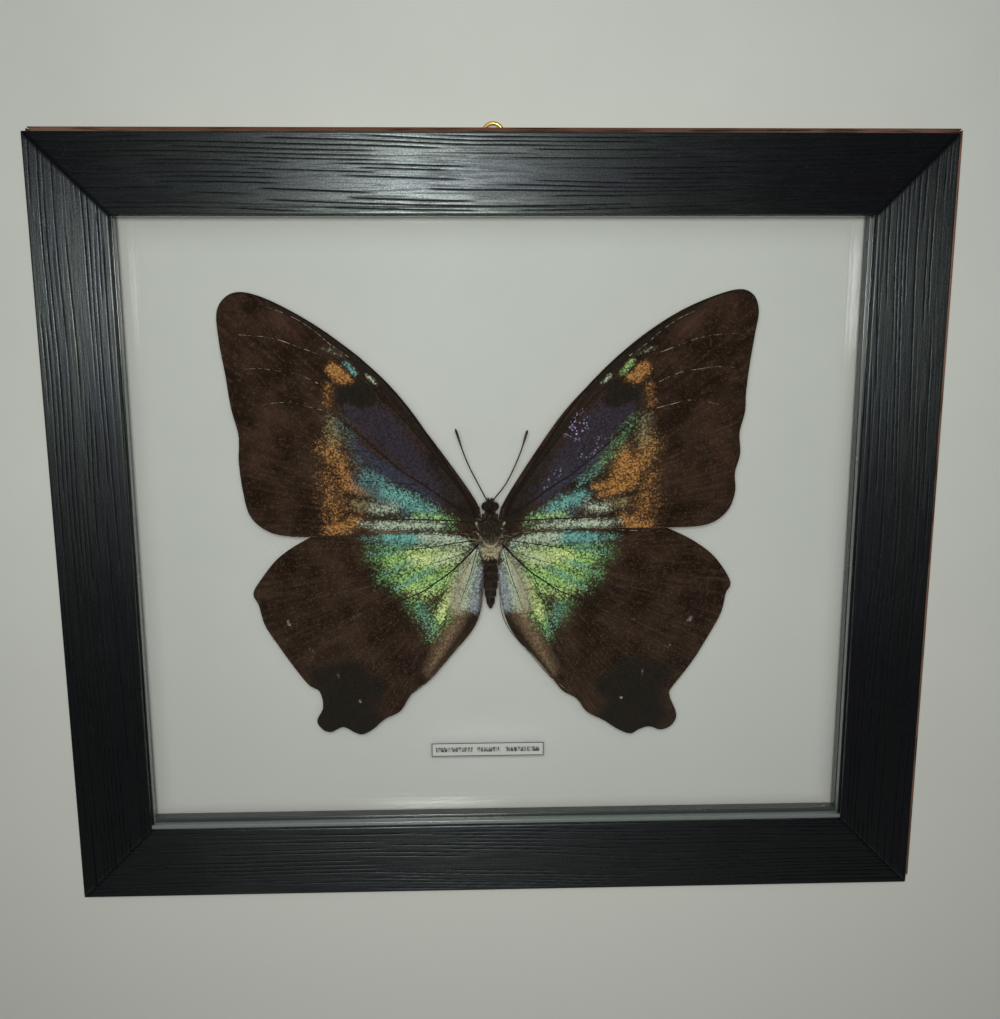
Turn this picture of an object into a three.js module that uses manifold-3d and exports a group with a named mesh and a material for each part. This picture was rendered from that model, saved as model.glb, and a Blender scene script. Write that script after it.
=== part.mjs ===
// A butterfly set between two panes of glass in a black mitred frame with a brown box behind it.
// Millimetres. X runs to the right, Y from the face towards the wall, Z up. The pieces are laid
// out from the middle of the frame's face, and the whole is then moved so that the origin is
// where the nail bears in the hanging ring.
import * as THREE from "three";
import { mergeVertices } from "three/addons/utils/BufferGeometryUtils.js";
import Module from "manifold-3d";

const wasm = await Module();
wasm.setup();

// Driving dimensions.
const FACE_WIDTH = 240;
const FACE_HEIGHT = 210.8;
const FACE_RAIL_WIDTH = 20.4;
const FACE_THICKNESS = 3.2;
const LIP_THICKNESS = 1.2;
const REBATE_WIDTH = 3;
const ARRIS = 0.4;
const GAP = 0.3; // clearance kept between neighbouring pieces

const BOX_OVERHANG = 1.2; // the box is this much larger than the face on each side, on average
const BOX_SHIFT = { x: 1.0, z: 0.75 }; // and it sits a little to the right and up
const BOX_BACK = 15;
const BOX_WALL = 13.6; // from the outside to the hollow that holds the panes
const BACK_LIP_WIDTH = 3.6;
const BACK_LIP_THICKNESS = 2.5;

const GLASS_THICKNESS = 2;
const REAR_GLASS = { width: 212.6, height: 183 };
const SPACER_OUTER = { width: 212, height: 182.4 };
const PALE_SPACER_DEPTH = 2.3;
const DARK_SPACER_DEPTH = 3.5;
const DARK_SPACER_SHIFT = { x: -0.45, z: 0.8 };
const DARK_SPACER_EXTRA_WIDTH = 0.9;

const LABEL = { width: 33, height: 4.2, thickness: 0.2, x: -3.1, z: -65.8 };

const BODY_X = -2.1; // the insect sits a little to the left of the middle
const WING_THICKNESS = 0.3;
const FOREWING_Y = 5.6;
const HINDWING_Y = 6.3;
const WING_TILT = 0.9; // degrees that the wing tips lean back towards the rear pane
const ANTENNA_RADIUS = 0.2;
const LEG_RADIUS = 0.22;

const RING_X = -0.6;
const RING_Z = 107.9;
const RING_RADIUS = 2.7; // to the middle of the wire
const RING_WIRE_RADIUS = 0.5;
const PLATE = { width: 7, thickness: 0.6, corner: 1.5, bottom: 94.6 };
const EYE = { width: 2.2, outerRadius: 1.3, boreRadius: 0.85 }; // the plate's rolled eye
const SCREW = { headRadius: 1.5, headHeight: 0.7 };

// Depths worked out from the stack: face, front pane, two spacers, rear pane, back lip.
const FRONT_GLASS_Y = LIP_THICKNESS + GAP;
const BOX_FRONT = FACE_THICKNESS + GAP;
const PALE_SPACER_Y = FRONT_GLASS_Y + GLASS_THICKNESS + GAP;
const DARK_SPACER_Y = PALE_SPACER_Y + PALE_SPACER_DEPTH + GAP;
const REAR_GLASS_Y = DARK_SPACER_Y + DARK_SPACER_DEPTH + GAP;
const PLATE_Y = BOX_BACK + 0.2;
const RING_Y = PLATE_Y + EYE.outerRadius;
const PIVOT_Z = RING_Z - RING_RADIUS;
const ORIGIN = { x: RING_X, y: RING_Y, z: RING_Z + RING_RADIUS - RING_WIRE_RADIUS };

// Outlines of the four wings as set, in X and Z from the middle of the face, from the base along
// the leading edge, round the tip, and back along the trailing edge.
const FOREWING_LEFT = [
  [-5.8, 2.2], [-7.0, 8.8], [-18.6, 26.2], [-28.7, 39.6], [-37.3, 48.2], [-48.8, 56.8],
  [-58.7, 62.6], [-66.5, 65.6], [-71.6, 65.0], [-74.7, 60.8], [-74.3, 53.0], [-72.7, 44.3],
  [-71.3, 35.1], [-69.4, 28.0], [-70.2, 24.8], [-70.5, 19.9], [-69.5, 12.5], [-67.4, 5.6],
  [-62.8, 1.2], [-56.0, -0.4], [-46.0, -0.2], [-32.0, 0.6], [-18.0, 0.6], [-9.5, -0.6],
];
const FOREWING_RIGHT = [
  [1.7, 2.2], [2.8, 8.8], [16.2, 30.2], [24.5, 40.6], [32.8, 48.6], [42.0, 55.9],
  [52.2, 61.9], [64.0, 66.1], [69.2, 65.0], [71.0, 60.6], [70.2, 54.5], [69.0, 45.8],
  [68.4, 38.5], [68.3, 33.3], [67.0, 27.5], [67.4, 21.6], [66.2, 16.3], [66.4, 10.9],
  [64.4, 5.5], [59.5, 1.9], [51.4, 1.0], [38.0, 1.4], [20.0, 1.2], [5.2, -0.6],
];
const HINDWING_LEFT = [
  [-5.6, -4.6], [-8.0, -1.2], [-18.0, 4.6], [-34.0, 5.6], [-45.0, 2.2], [-54.1, -2.1],
  [-61.2, -6.8], [-66.4, -13.0], [-68.7, -17.2], [-66.6, -20.6], [-65.4, -26.6], [-61.9, -33.2],
  [-57.9, -39.2], [-54.3, -44.2], [-51.2, -46.4], [-50.4, -51.0], [-52.2, -55.0], [-50.6, -57.8],
  [-48.2, -58.5], [-44.8, -57.1], [-41.4, -58.8], [-39.2, -59.3], [-36.3, -57.8], [-32.6, -54.6],
  [-28.2, -52.2], [-24.6, -46.8], [-18.9, -42.2], [-13.1, -35.4], [-7.4, -28.1], [-5.4, -22.6],
  [-5.0, -16.0], [-5.5, -8.6],
];
const HINDWING_RIGHT = [
  [1.5, -4.6], [4.2, -1.0], [14.0, 4.8], [30.0, 6.0], [42.0, 2.8], [50.6, -0.6],
  [56.6, -3.9], [61.8, -8.2], [66.2, -15.0], [65.0, -18.6], [63.6, -24.6], [58.6, -34.2],
  [54.3, -40.9], [50.6, -46.0], [49.6, -48.6], [51.8, -54.6], [50.4, -57.9], [47.3, -59.2],
  [44.0, -58.2], [41.0, -59.0], [38.5, -60.3], [34.7, -58.8], [30.6, -56.0], [25.6, -53.2],
  [22.6, -49.2], [18.6, -46.8], [15.5, -43.0], [10.6, -36.7], [5.2, -30.3], [2.4, -24.4],
  [1.0, -16.0], [1.3, -8.6],
];

const root = new THREE.Group();
const frame = new THREE.Group();
frame.position.set(-ORIGIN.x, -ORIGIN.y, -ORIGIN.z);
root.add(frame);

const finish = (color, roughness, metalness = 0) =>
  new THREE.MeshStandardMaterial({ color, roughness, metalness });
const blackWood = finish(0x17161b, 0.45);
const brownBoard = finish(0x4a382c, 0.8);
const clearGlass = new THREE.MeshStandardMaterial({
  color: 0xe6f2ec, roughness: 0.03, transparent: true, opacity: 0.2,
});
const paleStrip = finish(0x8c918c, 0.3);
const darkStrip = finish(0x4c4f4c, 0.3);
const paper = finish(0xc9cbc3, 0.85);
const wingScale = finish(0x33261f, 0.6);
const bodyHair = finish(0x2a1f19, 0.9);
const brass = finish(0xb08a3e, 0.3, 1);

function addPiece(name, geometry, material) {
  const mesh = new THREE.Mesh(geometry, material);
  mesh.name = name;
  frame.add(mesh);
  return mesh;
}

// The geometry with shared corners merged and every face turned outwards.
function closed(geometry) {
  const bare = geometry.clone();
  bare.deleteAttribute("normal");
  bare.deleteAttribute("uv");
  const merged = mergeVertices(bare, 1e-4);
  const corner = [0, 1, 2].map(() => new THREE.Vector3());
  const index = merged.index.array;
  let sixVolumes = 0;
  for (let i = 0; i < index.length; i += 3) {
    corner.forEach((v, k) => v.fromBufferAttribute(merged.attributes.position, index[i + k]));
    sixVolumes += corner[0].dot(corner[1].cross(corner[2]));
  }
  if (sixVolumes < 0)
    for (let i = 0; i < index.length; i += 3)
      [index[i + 1], index[i + 2]] = [index[i + 2], index[i + 1]];
  merged.computeVertexNormals();
  return merged;
}

// Joins overlapping closed geometries in one.
function joined(geometries) {
  const solids = geometries.map((geometry) => {
    const { attributes, index } = closed(geometry);
    return new wasm.Manifold(new wasm.Mesh({
      numProp: 3,
      vertProperties: new Float32Array(attributes.position.array),
      triVerts: new Uint32Array(index.array),
    }));
  });
  const { vertProperties, triVerts } = solids.reduce((a, b) => a.add(b)).getMesh();
  const geometry = new THREE.BufferGeometry();
  geometry.setAttribute("position", new THREE.BufferAttribute(vertProperties, 3));
  geometry.setIndex(new THREE.BufferAttribute(triVerts, 1));
  geometry.computeVertexNormals();
  return geometry;
}

// ---- Rails ----------------------------------------------------------------------------------

// One side of a mitred frame. The section is a list of [inset from the outer edge, depth], and
// size gives the frame's outer width and height.
function mitredRail(side, section, size, shift = { x: 0, z: 0 }) {
  const along = new THREE.Shape(section.map(([inset, y]) => new THREE.Vector2(inset, y)));
  const geometry = new THREE.ExtrudeGeometry(along, { depth: 1, bevelEnabled: false });
  const place = geometry.attributes.position;
  const level = side === "top" || side === "bottom";
  const sign = side === "top" || side === "right" ? 1 : -1;
  for (let i = 0; i < place.count; i++) {
    const inset = place.getX(i);
    const end = place.getZ(i) > 0.5 ? 1 : -1;
    const halfWidth = size.width / 2 - inset;
    const halfHeight = size.height / 2 - inset;
    const mitre = GAP / Math.SQRT2;
    const x = level ? end * (halfWidth - mitre) : sign * halfWidth;
    const z = level ? sign * halfHeight : end * (halfHeight - mitre);
    place.setXYZ(i, x + shift.x, place.getY(i), z + shift.z);
  }
  return closed(geometry);
}

const FACE_SECTION = [
  [0, ARRIS],
  [ARRIS, 0],
  [FACE_RAIL_WIDTH - ARRIS, 0],
  [FACE_RAIL_WIDTH, ARRIS],
  [FACE_RAIL_WIDTH, LIP_THICKNESS],
  [FACE_RAIL_WIDTH - REBATE_WIDTH, LIP_THICKNESS],
  [FACE_RAIL_WIDTH - REBATE_WIDTH, FACE_THICKNESS],
  [0, FACE_THICKNESS],
];
const BOX_SECTION = [
  [0, BOX_FRONT],
  [BOX_WALL, BOX_FRONT],
  [BOX_WALL, BOX_BACK - BACK_LIP_THICKNESS],
  [BOX_WALL + BACK_LIP_WIDTH, BOX_BACK - BACK_LIP_THICKNESS],
  [BOX_WALL + BACK_LIP_WIDTH, BOX_BACK],
  [ARRIS, BOX_BACK],
  [0, BOX_BACK - ARRIS],
];
const faceSize = { width: FACE_WIDTH, height: FACE_HEIGHT };
const boxSize = { width: FACE_WIDTH + 2 * BOX_OVERHANG, height: FACE_HEIGHT + 1.9 };
const openingSize = {
  width: FACE_WIDTH - 2 * FACE_RAIL_WIDTH,
  height: FACE_HEIGHT - 2 * FACE_RAIL_WIDTH,
};

for (const side of ["top", "bottom", "left", "right"]) {
  addPiece(`face_rail_${side}`, mitredRail(side, FACE_SECTION, faceSize), blackWood);
  addPiece(`box_rail_${side}`, mitredRail(side, BOX_SECTION, boxSize, BOX_SHIFT), brownBoard);
}

// ---- Panes and spacers ----------------------------------------------------------------------

function slab(width, thickness, height, x, y, z) {
  return closed(new THREE.BoxGeometry(width, thickness, height).translate(x, y + thickness / 2, z));
}

const frontGlassInset = 2 * (REBATE_WIDTH - GAP);
addPiece("front_glass", slab(openingSize.width + frontGlassInset, GLASS_THICKNESS,
  openingSize.height + frontGlassInset, 0, FRONT_GLASS_Y, 0), clearGlass);
addPiece("rear_glass", slab(REAR_GLASS.width, GLASS_THICKNESS, REAR_GLASS.height,
  0, REAR_GLASS_Y, 0), clearGlass);

// Four strips laid round the opening: the level ones run the whole width, and the upright ones
// stand between them.
function spacerLayer(name, y, depth, opening, shift, material) {
  const left = shift.x - opening.width / 2;
  const right = shift.x + opening.width / 2;
  const bottom = shift.z - opening.height / 2;
  const top = shift.z + opening.height / 2;
  const outerX = SPACER_OUTER.width / 2;
  const outerZ = SPACER_OUTER.height / 2;
  const strips = {
    top: [-outerX, outerX, top, outerZ],
    bottom: [-outerX, outerX, -outerZ, bottom],
    left: [-outerX, left, bottom + GAP, top - GAP],
    right: [right, outerX, bottom + GAP, top - GAP],
  };
  for (const [side, [x0, x1, z0, z1]] of Object.entries(strips)) {
    const strip = slab(x1 - x0, depth, z1 - z0, (x0 + x1) / 2, y, (z0 + z1) / 2);
    addPiece(`${name}_${side}`, strip, material);
  }
}

spacerLayer("pale_spacer", PALE_SPACER_Y, PALE_SPACER_DEPTH, openingSize,
  { x: 0, z: 0 }, paleStrip);
spacerLayer("dark_spacer", DARK_SPACER_Y, DARK_SPACER_DEPTH,
  { width: openingSize.width + DARK_SPACER_EXTRA_WIDTH, height: openingSize.height },
  DARK_SPACER_SHIFT, darkStrip);

addPiece("label", slab(LABEL.width, LABEL.thickness, LABEL.height, LABEL.x,
  REAR_GLASS_Y - LABEL.thickness - 0.1, LABEL.z), paper);

// ---- Butterfly ------------------------------------------------------------------------------

// A thin plate with the wing's outline, hinged on the body by a small lean of its tip.
function wing(outline, y, side) {
  const curve = new THREE.SplineCurve(outline.map(([x, z]) => new THREE.Vector2(x - BODY_X, z)));
  const shape = new THREE.Shape(curve.getPoints(outline.length * 3));
  const geometry = new THREE.ExtrudeGeometry(shape, { depth: WING_THICKNESS, bevelEnabled: false });
  geometry.rotateX(Math.PI / 2).translate(0, WING_THICKNESS, 0);
  geometry.rotateZ(THREE.MathUtils.degToRad(side * WING_TILT)).translate(BODY_X, y, 0);
  return closed(geometry);
}

addPiece("forewing_left", wing(FOREWING_LEFT, FOREWING_Y, -1), wingScale);
addPiece("forewing_right", wing(FOREWING_RIGHT, FOREWING_Y, 1), wingScale);
addPiece("hindwing_left", wing(HINDWING_LEFT, HINDWING_Y, -1), wingScale);
addPiece("hindwing_right", wing(HINDWING_RIGHT, HINDWING_Y, 1), wingScale);

function ball(x, y, z, radiusX, radiusY, radiusZ, segments = 20) {
  const geometry = new THREE.SphereGeometry(1, segments, Math.round(segments * 0.6));
  return geometry.scale(radiusX, radiusY, radiusZ).translate(x, y, z);
}

function rod(points, radius, sides = 6) {
  const path = new THREE.CatmullRomCurve3(points.map((p) => new THREE.Vector3(...p)));
  const section = new THREE.Shape().absarc(0, 0, radius, 0, 2 * Math.PI);
  const ring = new THREE.Shape(section.getPoints(sides).slice(0, sides));
  const steps = points.length * 4;
  return new THREE.ExtrudeGeometry(ring, { steps, extrudePath: path, bevelEnabled: false });
}

// Radius of the abdomen at each ring, from the waist down to the tip.
const ABDOMEN = [
  [0, -4.6], [1.5, -4.9], [1.75, -6.6], [1.9, -8.4], [1.85, -8.9], [2.1, -10.4], [2.0, -11.0],
  [2.15, -12.6], [2.0, -13.3], [2.05, -14.8], [1.8, -15.5], [1.75, -16.9], [1.45, -17.6],
  [1.35, -18.9], [1.05, -19.5], [0.85, -20.8], [0.4, -21.9], [0, -22.2],
];

function abdomen() {
  const profile = ABDOMEN.map(([r, z]) => new THREE.Vector2(r, z));
  const lathe = new THREE.LatheGeometry(profile, 20).rotateX(Math.PI / 2);
  return lathe.scale(1, 0.95, 1).translate(BODY_X - 0.1, 7.1, 0);
}

// Legs folded under the thorax, as [points] on the left side; the right side mirrors them.
const LEGS = [
  [[-0.7, 8.5, 3.4], [-2.1, 9.15, 4.6], [-1.5, 9.3, 1.2], [-1.2, 9.35, -2.6]],
  [[-0.8, 8.7, 1.4], [-2.6, 9.0, 0.6], [-2.0, 9.2, -4.4], [-1.5, 9.3, -8.0]],
];

function body() {
  const pieces = [
    ball(BODY_X, 6.3, 7.3, 1.7, 1.6, 1.8),
    ball(BODY_X, 6.6, 0.7, 2.95, 2.55, 4.5, 28),
    ball(BODY_X, 6.7, -3.6, 2.3, 2.2, 2.2),
    ball(BODY_X, 6.4, 5.2, 1.6, 1.6, 1.3, 16),
    abdomen(),
  ];
  for (const side of [-1, 1]) {
    pieces.push(ball(BODY_X + side * 1.5, 6.1, 7.5, 1.15, 1.2, 1.3, 16));
    pieces.push(ball(BODY_X + side * 0.45, 7.2, 8.7, 0.4, 0.5, 0.8, 12));
    for (const leg of LEGS) {
      const points = leg.map(([x, y, z]) => [BODY_X - side * x, y, z]);
      pieces.push(rod(points, LEG_RADIUS));
    }
  }
  return joined(pieces);
}

addPiece("body", body(), bodyHair);

// From the head, beyond its surface by the clearance, out to the club at the tip.
const ANTENNAE = {
  antenna_left: [[-3.2, 5.5, 9.6], [-5.3, 5.2, 13.7], [-8.7, 5.0, 20.8], [-11.5, 5.0, 29.2]],
  antenna_right: [[-1.0, 5.5, 9.6], [2.5, 5.2, 14.3], [5.9, 5.0, 21.6], [8.2, 5.0, 28.7]],
};

function antenna(points) {
  const tip = new THREE.Vector3(...points.at(-1));
  const along = tip.clone().sub(new THREE.Vector3(...points.at(-2))).normalize();
  const upright = new THREE.Vector3(0, 0, 1);
  const turn = new THREE.Quaternion().setFromUnitVectors(upright, along);
  const club = ball(0, 0, 0, 0.36, 0.36, 2.6, 10).applyQuaternion(turn);
  const centre = tip.sub(along.multiplyScalar(1.8));
  return joined([rod(points, ANTENNA_RADIUS), club.translate(centre.x, centre.y, centre.z)]);
}

for (const [name, points] of Object.entries(ANTENNAE))
  addPiece(name, antenna(points), bodyHair);

// ---- Hanger ---------------------------------------------------------------------------------

// A flat plate with round corners, and a narrow eye rolled over at its top edge.
function hangerPlate() {
  const { width, thickness, corner, bottom } = PLATE;
  const half = width / 2;
  const top = PIVOT_Z - EYE.outerRadius;
  const outline = new THREE.Shape()
    .moveTo(-half + corner, bottom)
    .lineTo(half - corner, bottom)
    .absarc(half - corner, bottom + corner, corner, -Math.PI / 2, 0)
    .lineTo(half, top - corner)
    .lineTo(EYE.width / 2, top)
    .lineTo(-EYE.width / 2, top)
    .lineTo(-half, top - corner)
    .absarc(-half + corner, bottom + corner, corner, Math.PI, 1.5 * Math.PI);
  const plate = new THREE.ExtrudeGeometry(outline, {
    depth: thickness, bevelEnabled: false, curveSegments: 6,
  });
  plate.rotateX(Math.PI / 2).translate(RING_X, PLATE_Y + thickness, 0);

  const reach = Math.acos((EYE.outerRadius - thickness) / EYE.outerRadius);
  const profile = new THREE.Shape()
    .moveTo(-EYE.outerRadius, -EYE.outerRadius - 1)
    .lineTo(-EYE.outerRadius, 0)
    .absarc(0, 0, EYE.outerRadius, Math.PI, reach - Math.PI, true)
    .lineTo(thickness - EYE.outerRadius, -EYE.outerRadius - 1);
  profile.holes.push(new THREE.Path().absarc(0, 0, EYE.boreRadius, 0, 2 * Math.PI));
  const eye = new THREE.ExtrudeGeometry(profile, {
    depth: EYE.width, bevelEnabled: false, curveSegments: 18,
  });
  const toWorld = new THREE.Matrix4().makeBasis(
    new THREE.Vector3(0, 1, 0), new THREE.Vector3(0, 0, 1), new THREE.Vector3(1, 0, 0));
  eye.applyMatrix4(toWorld).translate(RING_X - EYE.width / 2, RING_Y, PIVOT_Z);
  return joined([plate, eye]);
}

function screwHead(z) {
  const dome = [[0, 0], [1, 0], [0.95, 0.45], [0.7, 0.8], [0.3, 1], [0, 1.02]];
  const profile = dome.map(([r, h]) =>
    new THREE.Vector2(r * SCREW.headRadius, h * SCREW.headHeight));
  return closed(new THREE.LatheGeometry(profile, 24)
    .translate(RING_X, PLATE_Y + PLATE.thickness + 0.1, z));
}

addPiece("hanger_plate", hangerPlate(), brass);
addPiece("hanger_screw_upper", screwHead(PIVOT_Z - RING_RADIUS), brass);
addPiece("hanger_screw_lower", screwHead(PLATE.bottom + 2.2), brass);
addPiece("hanger_ring", closed(new THREE.TorusGeometry(RING_RADIUS, RING_WIRE_RADIUS, 10, 40)
  .rotateX(Math.PI / 2).translate(RING_X, RING_Y, RING_Z)), brass);

export default root;
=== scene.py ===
# %% [markdown]
# # A butterfly between two panes of glass
# The object hangs on a wall: a black mitred frame with a brown box behind it, two panes with
# strips between them, and a set butterfly that seems to float. The CAD model already holds every
# piece at its real size. This lesson dresses it: some CAD pieces only need a finish, and others
# are modelled again with the grain, veins, hair and hollows that a solid model leaves out.

# %% Load the frame
import math

import bpy
import numpy as np
from mathutils import Matrix, Vector


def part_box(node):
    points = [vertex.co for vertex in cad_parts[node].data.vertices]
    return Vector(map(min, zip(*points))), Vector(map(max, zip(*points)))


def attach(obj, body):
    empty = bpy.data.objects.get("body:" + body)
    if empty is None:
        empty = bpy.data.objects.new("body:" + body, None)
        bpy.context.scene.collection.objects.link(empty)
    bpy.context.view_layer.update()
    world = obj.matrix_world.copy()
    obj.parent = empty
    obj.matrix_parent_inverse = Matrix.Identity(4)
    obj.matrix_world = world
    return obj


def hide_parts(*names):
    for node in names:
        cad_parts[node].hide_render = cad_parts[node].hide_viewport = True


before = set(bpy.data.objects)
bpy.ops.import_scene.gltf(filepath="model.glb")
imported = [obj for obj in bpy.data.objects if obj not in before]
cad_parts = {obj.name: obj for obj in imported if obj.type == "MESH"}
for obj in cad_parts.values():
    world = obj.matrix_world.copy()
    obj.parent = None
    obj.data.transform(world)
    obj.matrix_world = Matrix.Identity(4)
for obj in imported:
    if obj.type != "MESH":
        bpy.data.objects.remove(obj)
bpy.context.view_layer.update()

# %% [markdown]
# Everything on the object is easiest to place from the middle of the frame's face, in
# millimetres: X to the right, Y back towards the wall and Z up. The face rails' own boxes say
# where that middle is, so nothing is typed twice. All meshes are then stored in metres.

# %% Millimetres from the middle of the face
MM = 0.001
SIDES = ("top", "bottom", "left", "right")
face_low = Vector(map(min, *[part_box("face_rail_" + side)[0] for side in SIDES]))
face_high = Vector(map(max, *[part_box("face_rail_" + side)[1] for side in SIDES]))
FACE = Vector(((face_low.x + face_high.x) / 2, face_low.y, (face_low.z + face_high.z) / 2))
HALF_WIDTH = (face_high.x - face_low.x) / 2 / MM
HALF_HEIGHT = (face_high.z - face_low.z) / 2 / MM


def on_face(x, y, z):
    """A point in millimetres from the middle of the face, as a place in the frame."""
    return FACE + Vector((x, y, z)) * MM


def to_metres(points):
    """The same for an array of points."""
    return np.asarray(points, float) * MM + np.array(FACE)


print(f"face {2 * HALF_WIDTH:.1f} x {2 * HALF_HEIGHT:.1f} mm")

# %% [markdown]
# ## Camera
# The object is seen from a little above and slightly left of its middle, from only 27 cm away,
# so the rails lean towards each other downwards. A camera is aimed by the three directions it
# has: right, up and backwards are the columns of its matrix.

# %% Camera
CAMERA_FROM_FACE = (-7.24, -267.97, 55.76)
YAW, PITCH, ROLL = (math.radians(angle) for angle in (1.65, 10.2, -0.19))
LENS = 35.36

forward = Vector((math.sin(YAW) * math.cos(PITCH), math.cos(YAW) * math.cos(PITCH),
                  -math.sin(PITCH)))
level_right = Vector((math.cos(YAW), -math.sin(YAW), 0))
level_up = level_right.cross(forward)
right = math.cos(ROLL) * level_right + math.sin(ROLL) * level_up
up = math.cos(ROLL) * level_up - math.sin(ROLL) * level_right
camera = bpy.data.objects.new("camera", bpy.data.cameras.new("camera"))
camera.data.lens = LENS
camera.data.sensor_width = 36
camera.data.clip_start = 0.01
camera.matrix_world = Matrix.Translation(on_face(*CAMERA_FROM_FACE)) @ Matrix(
    (right, up, -forward)).transposed().to_4x4()
bpy.context.scene.collection.objects.link(camera)
bpy.context.scene.camera = camera
print("camera at", [round(c, 4) for c in camera.location])

# %% [markdown]
# ## Modelling helpers
# An operator works on whatever is selected, and loading the CAD model leaves all of it selected.
# So every step first clears the selection and then picks its own piece, faces or edges in code.

# %% Selecting and finishing pieces
def only(piece):
    """Leaves object mode and selects this piece alone."""
    if bpy.context.mode != "OBJECT":
        bpy.ops.object.mode_set(mode="OBJECT")
    bpy.ops.object.select_all(action="DESELECT")
    piece.select_set(True)
    bpy.context.view_layer.objects.active = piece


def added(name):
    """Names the primitive that was just added and puts its place into its mesh."""
    piece = bpy.context.object
    piece.name = piece.data.name = name
    only(piece)
    bpy.ops.object.transform_apply(location=True, rotation=True, scale=True)
    return piece


def in_edit(piece, step):
    """Runs one editing step on the whole mesh."""
    only(piece)
    bpy.ops.object.mode_set(mode="EDIT")
    bpy.ops.mesh.select_all(action="SELECT")
    step()
    bpy.ops.object.mode_set(mode="OBJECT")


def pick_faces(piece, test):
    """Goes to edit mode with the faces selected whose centre and normal pass the test."""
    only(piece)
    bpy.ops.object.mode_set(mode="EDIT")
    bpy.ops.mesh.select_mode(type="FACE")
    bpy.ops.mesh.select_all(action="DESELECT")
    bpy.ops.object.mode_set(mode="OBJECT")
    for face in piece.data.polygons:
        face.select = test(face.center, face.normal)
    bpy.ops.object.mode_set(mode="EDIT")


def apply_modifier(piece, kind, **settings):
    """Adds a modifier and applies it at once."""
    only(piece)
    modifier = piece.modifiers.new(kind.lower(), kind)
    for key, value in settings.items():
        setattr(modifier, key, value)
    bpy.ops.object.modifier_apply(modifier=modifier.name)


def join(pieces, name):
    """Joins pieces into one object."""
    only(pieces[0])
    for piece in pieces:
        piece.select_set(True)
    bpy.ops.object.join()
    pieces[0].name = pieces[0].data.name = name
    return pieces[0]


def smooth(piece, angle=35):
    only(piece)
    bpy.ops.object.shade_smooth_by_angle(angle=math.radians(angle))


def report(piece):
    count = sum(len(face.vertices) - 2 for face in piece.data.polygons)
    print(f"{piece.name}: {count} triangles")


# %% [markdown]
# A flat grid is the most useful primitive here, because a rail, a wing and an abdomen are all
# sheets that are wrapped into a shape. The grid's own coordinates say which column and row a
# vertex belongs to, from 0 to 1, and a formula then says where it goes.

# %% A grid wrapped by a formula
def wrapped_grid(name, columns, rows, where):
    """Adds a grid and moves each vertex to where(column, row), in millimetres on the face."""
    bpy.ops.mesh.primitive_grid_add(x_subdivisions=columns, y_subdivisions=rows, size=1)
    piece = added(name)
    flat = np.zeros(len(piece.data.vertices) * 3)
    piece.data.vertices.foreach_get("co", flat)
    column, row = flat.reshape(-1, 3)[:, :2].T + 0.5
    place = to_metres(np.stack(where(column, row), axis=1))
    piece.data.vertices.foreach_set("co", place.ravel())
    piece.data.update()
    return piece


def store(piece, name, values):
    """Keeps one number for each vertex, which materials can read."""
    attribute = piece.data.attributes.new(name, "FLOAT", "POINT")
    attribute.data.foreach_set("value", np.asarray(values, np.float32))


def face_mm(piece):
    """The vertices' places in millimetres from the middle of the face."""
    flat = np.zeros(len(piece.data.vertices) * 3)
    piece.data.vertices.foreach_get("co", flat)
    return (flat.reshape(-1, 3) - np.array(FACE)) / MM


def ease(value):
    """0 below 0, 1 above 1 and a smooth step between."""
    value = np.clip(value, 0, 1)
    return value * value * (3 - 2 * value)


def wander(u, v, seed):
    """Smooth noise from 0 to 1 that changes over about one unit of u or v."""
    table = np.random.default_rng(seed).random((256, 256))
    iu, iv = np.floor(u).astype(int), np.floor(v).astype(int)
    fu, fv = ease(u - iu), ease(v - iv)
    low = table[iu % 256, iv % 256] * (1 - fv) + table[iu % 256, (iv + 1) % 256] * fv
    high = table[(iu + 1) % 256, iv % 256] * (1 - fv) + table[(iu + 1) % 256, (iv + 1) % 256] * fv
    return low * (1 - fu) + high * fu


print("modelling helpers ready")

# %% [markdown]
# ## Shader helpers
# Materials are node trees, and a few short functions keep them readable. Colours are written as
# the 0 to 255 values that a screen shows and turned into the linear values that Blender uses.

# %% Node helpers
def colour(red, green, blue):
    """A screen colour as linear red, green, blue and alpha."""
    return tuple((c / 255 / 12.92) if c < 11 else ((c / 255 + 0.055) / 1.055) ** 2.4
                 for c in (red, green, blue)) + (1.0,)


def node(tree, kind, inputs=None, **settings):
    """Adds a node. Inputs are given by name or number, as a value or as another node's output."""
    made = tree.nodes.new("ShaderNode" + kind)
    for key, value in settings.items():
        setattr(made, key, value)
    for socket, value in (inputs or {}).items():
        if isinstance(value, bpy.types.NodeSocket):
            tree.links.new(value, made.inputs[socket])
        else:
            made.inputs[socket].default_value = value
    return made


def calc(tree, operation, *values, clamp=False):
    return node(tree, "Math", dict(enumerate(values)), operation=operation,
                use_clamp=clamp).outputs[0]


def mixed(tree, amount, first, second):
    """Goes from the first colour to the second as amount goes from 0 to 1."""
    return node(tree, "Mix", {0: amount, 6: first, 7: second}, data_type="RGBA").outputs[2]


def spread(tree, value, low, high, start=0.0, end=1.0):
    """Stretches the part of a value between low and high over start to end."""
    return node(tree, "MapRange", {0: value, 1: low, 2: high, 3: start, 4: end}).outputs[0]


def noise(tree, vector, scale, detail=3.0, roughness=0.5):
    return node(tree, "TexNoise", {"Vector": vector, "Scale": scale, "Detail": detail,
                                   "Roughness": roughness}).outputs[0]


def here(tree, turn=(0, 0, 0)):
    """Object coordinates, turned by angles in degrees."""
    place = node(tree, "TexCoord").outputs["Object"]
    if not any(turn):
        return place
    angles = [math.radians(angle) for angle in turn]
    return node(tree, "Mapping", {"Vector": place, "Rotation": angles}).outputs[0]


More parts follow.
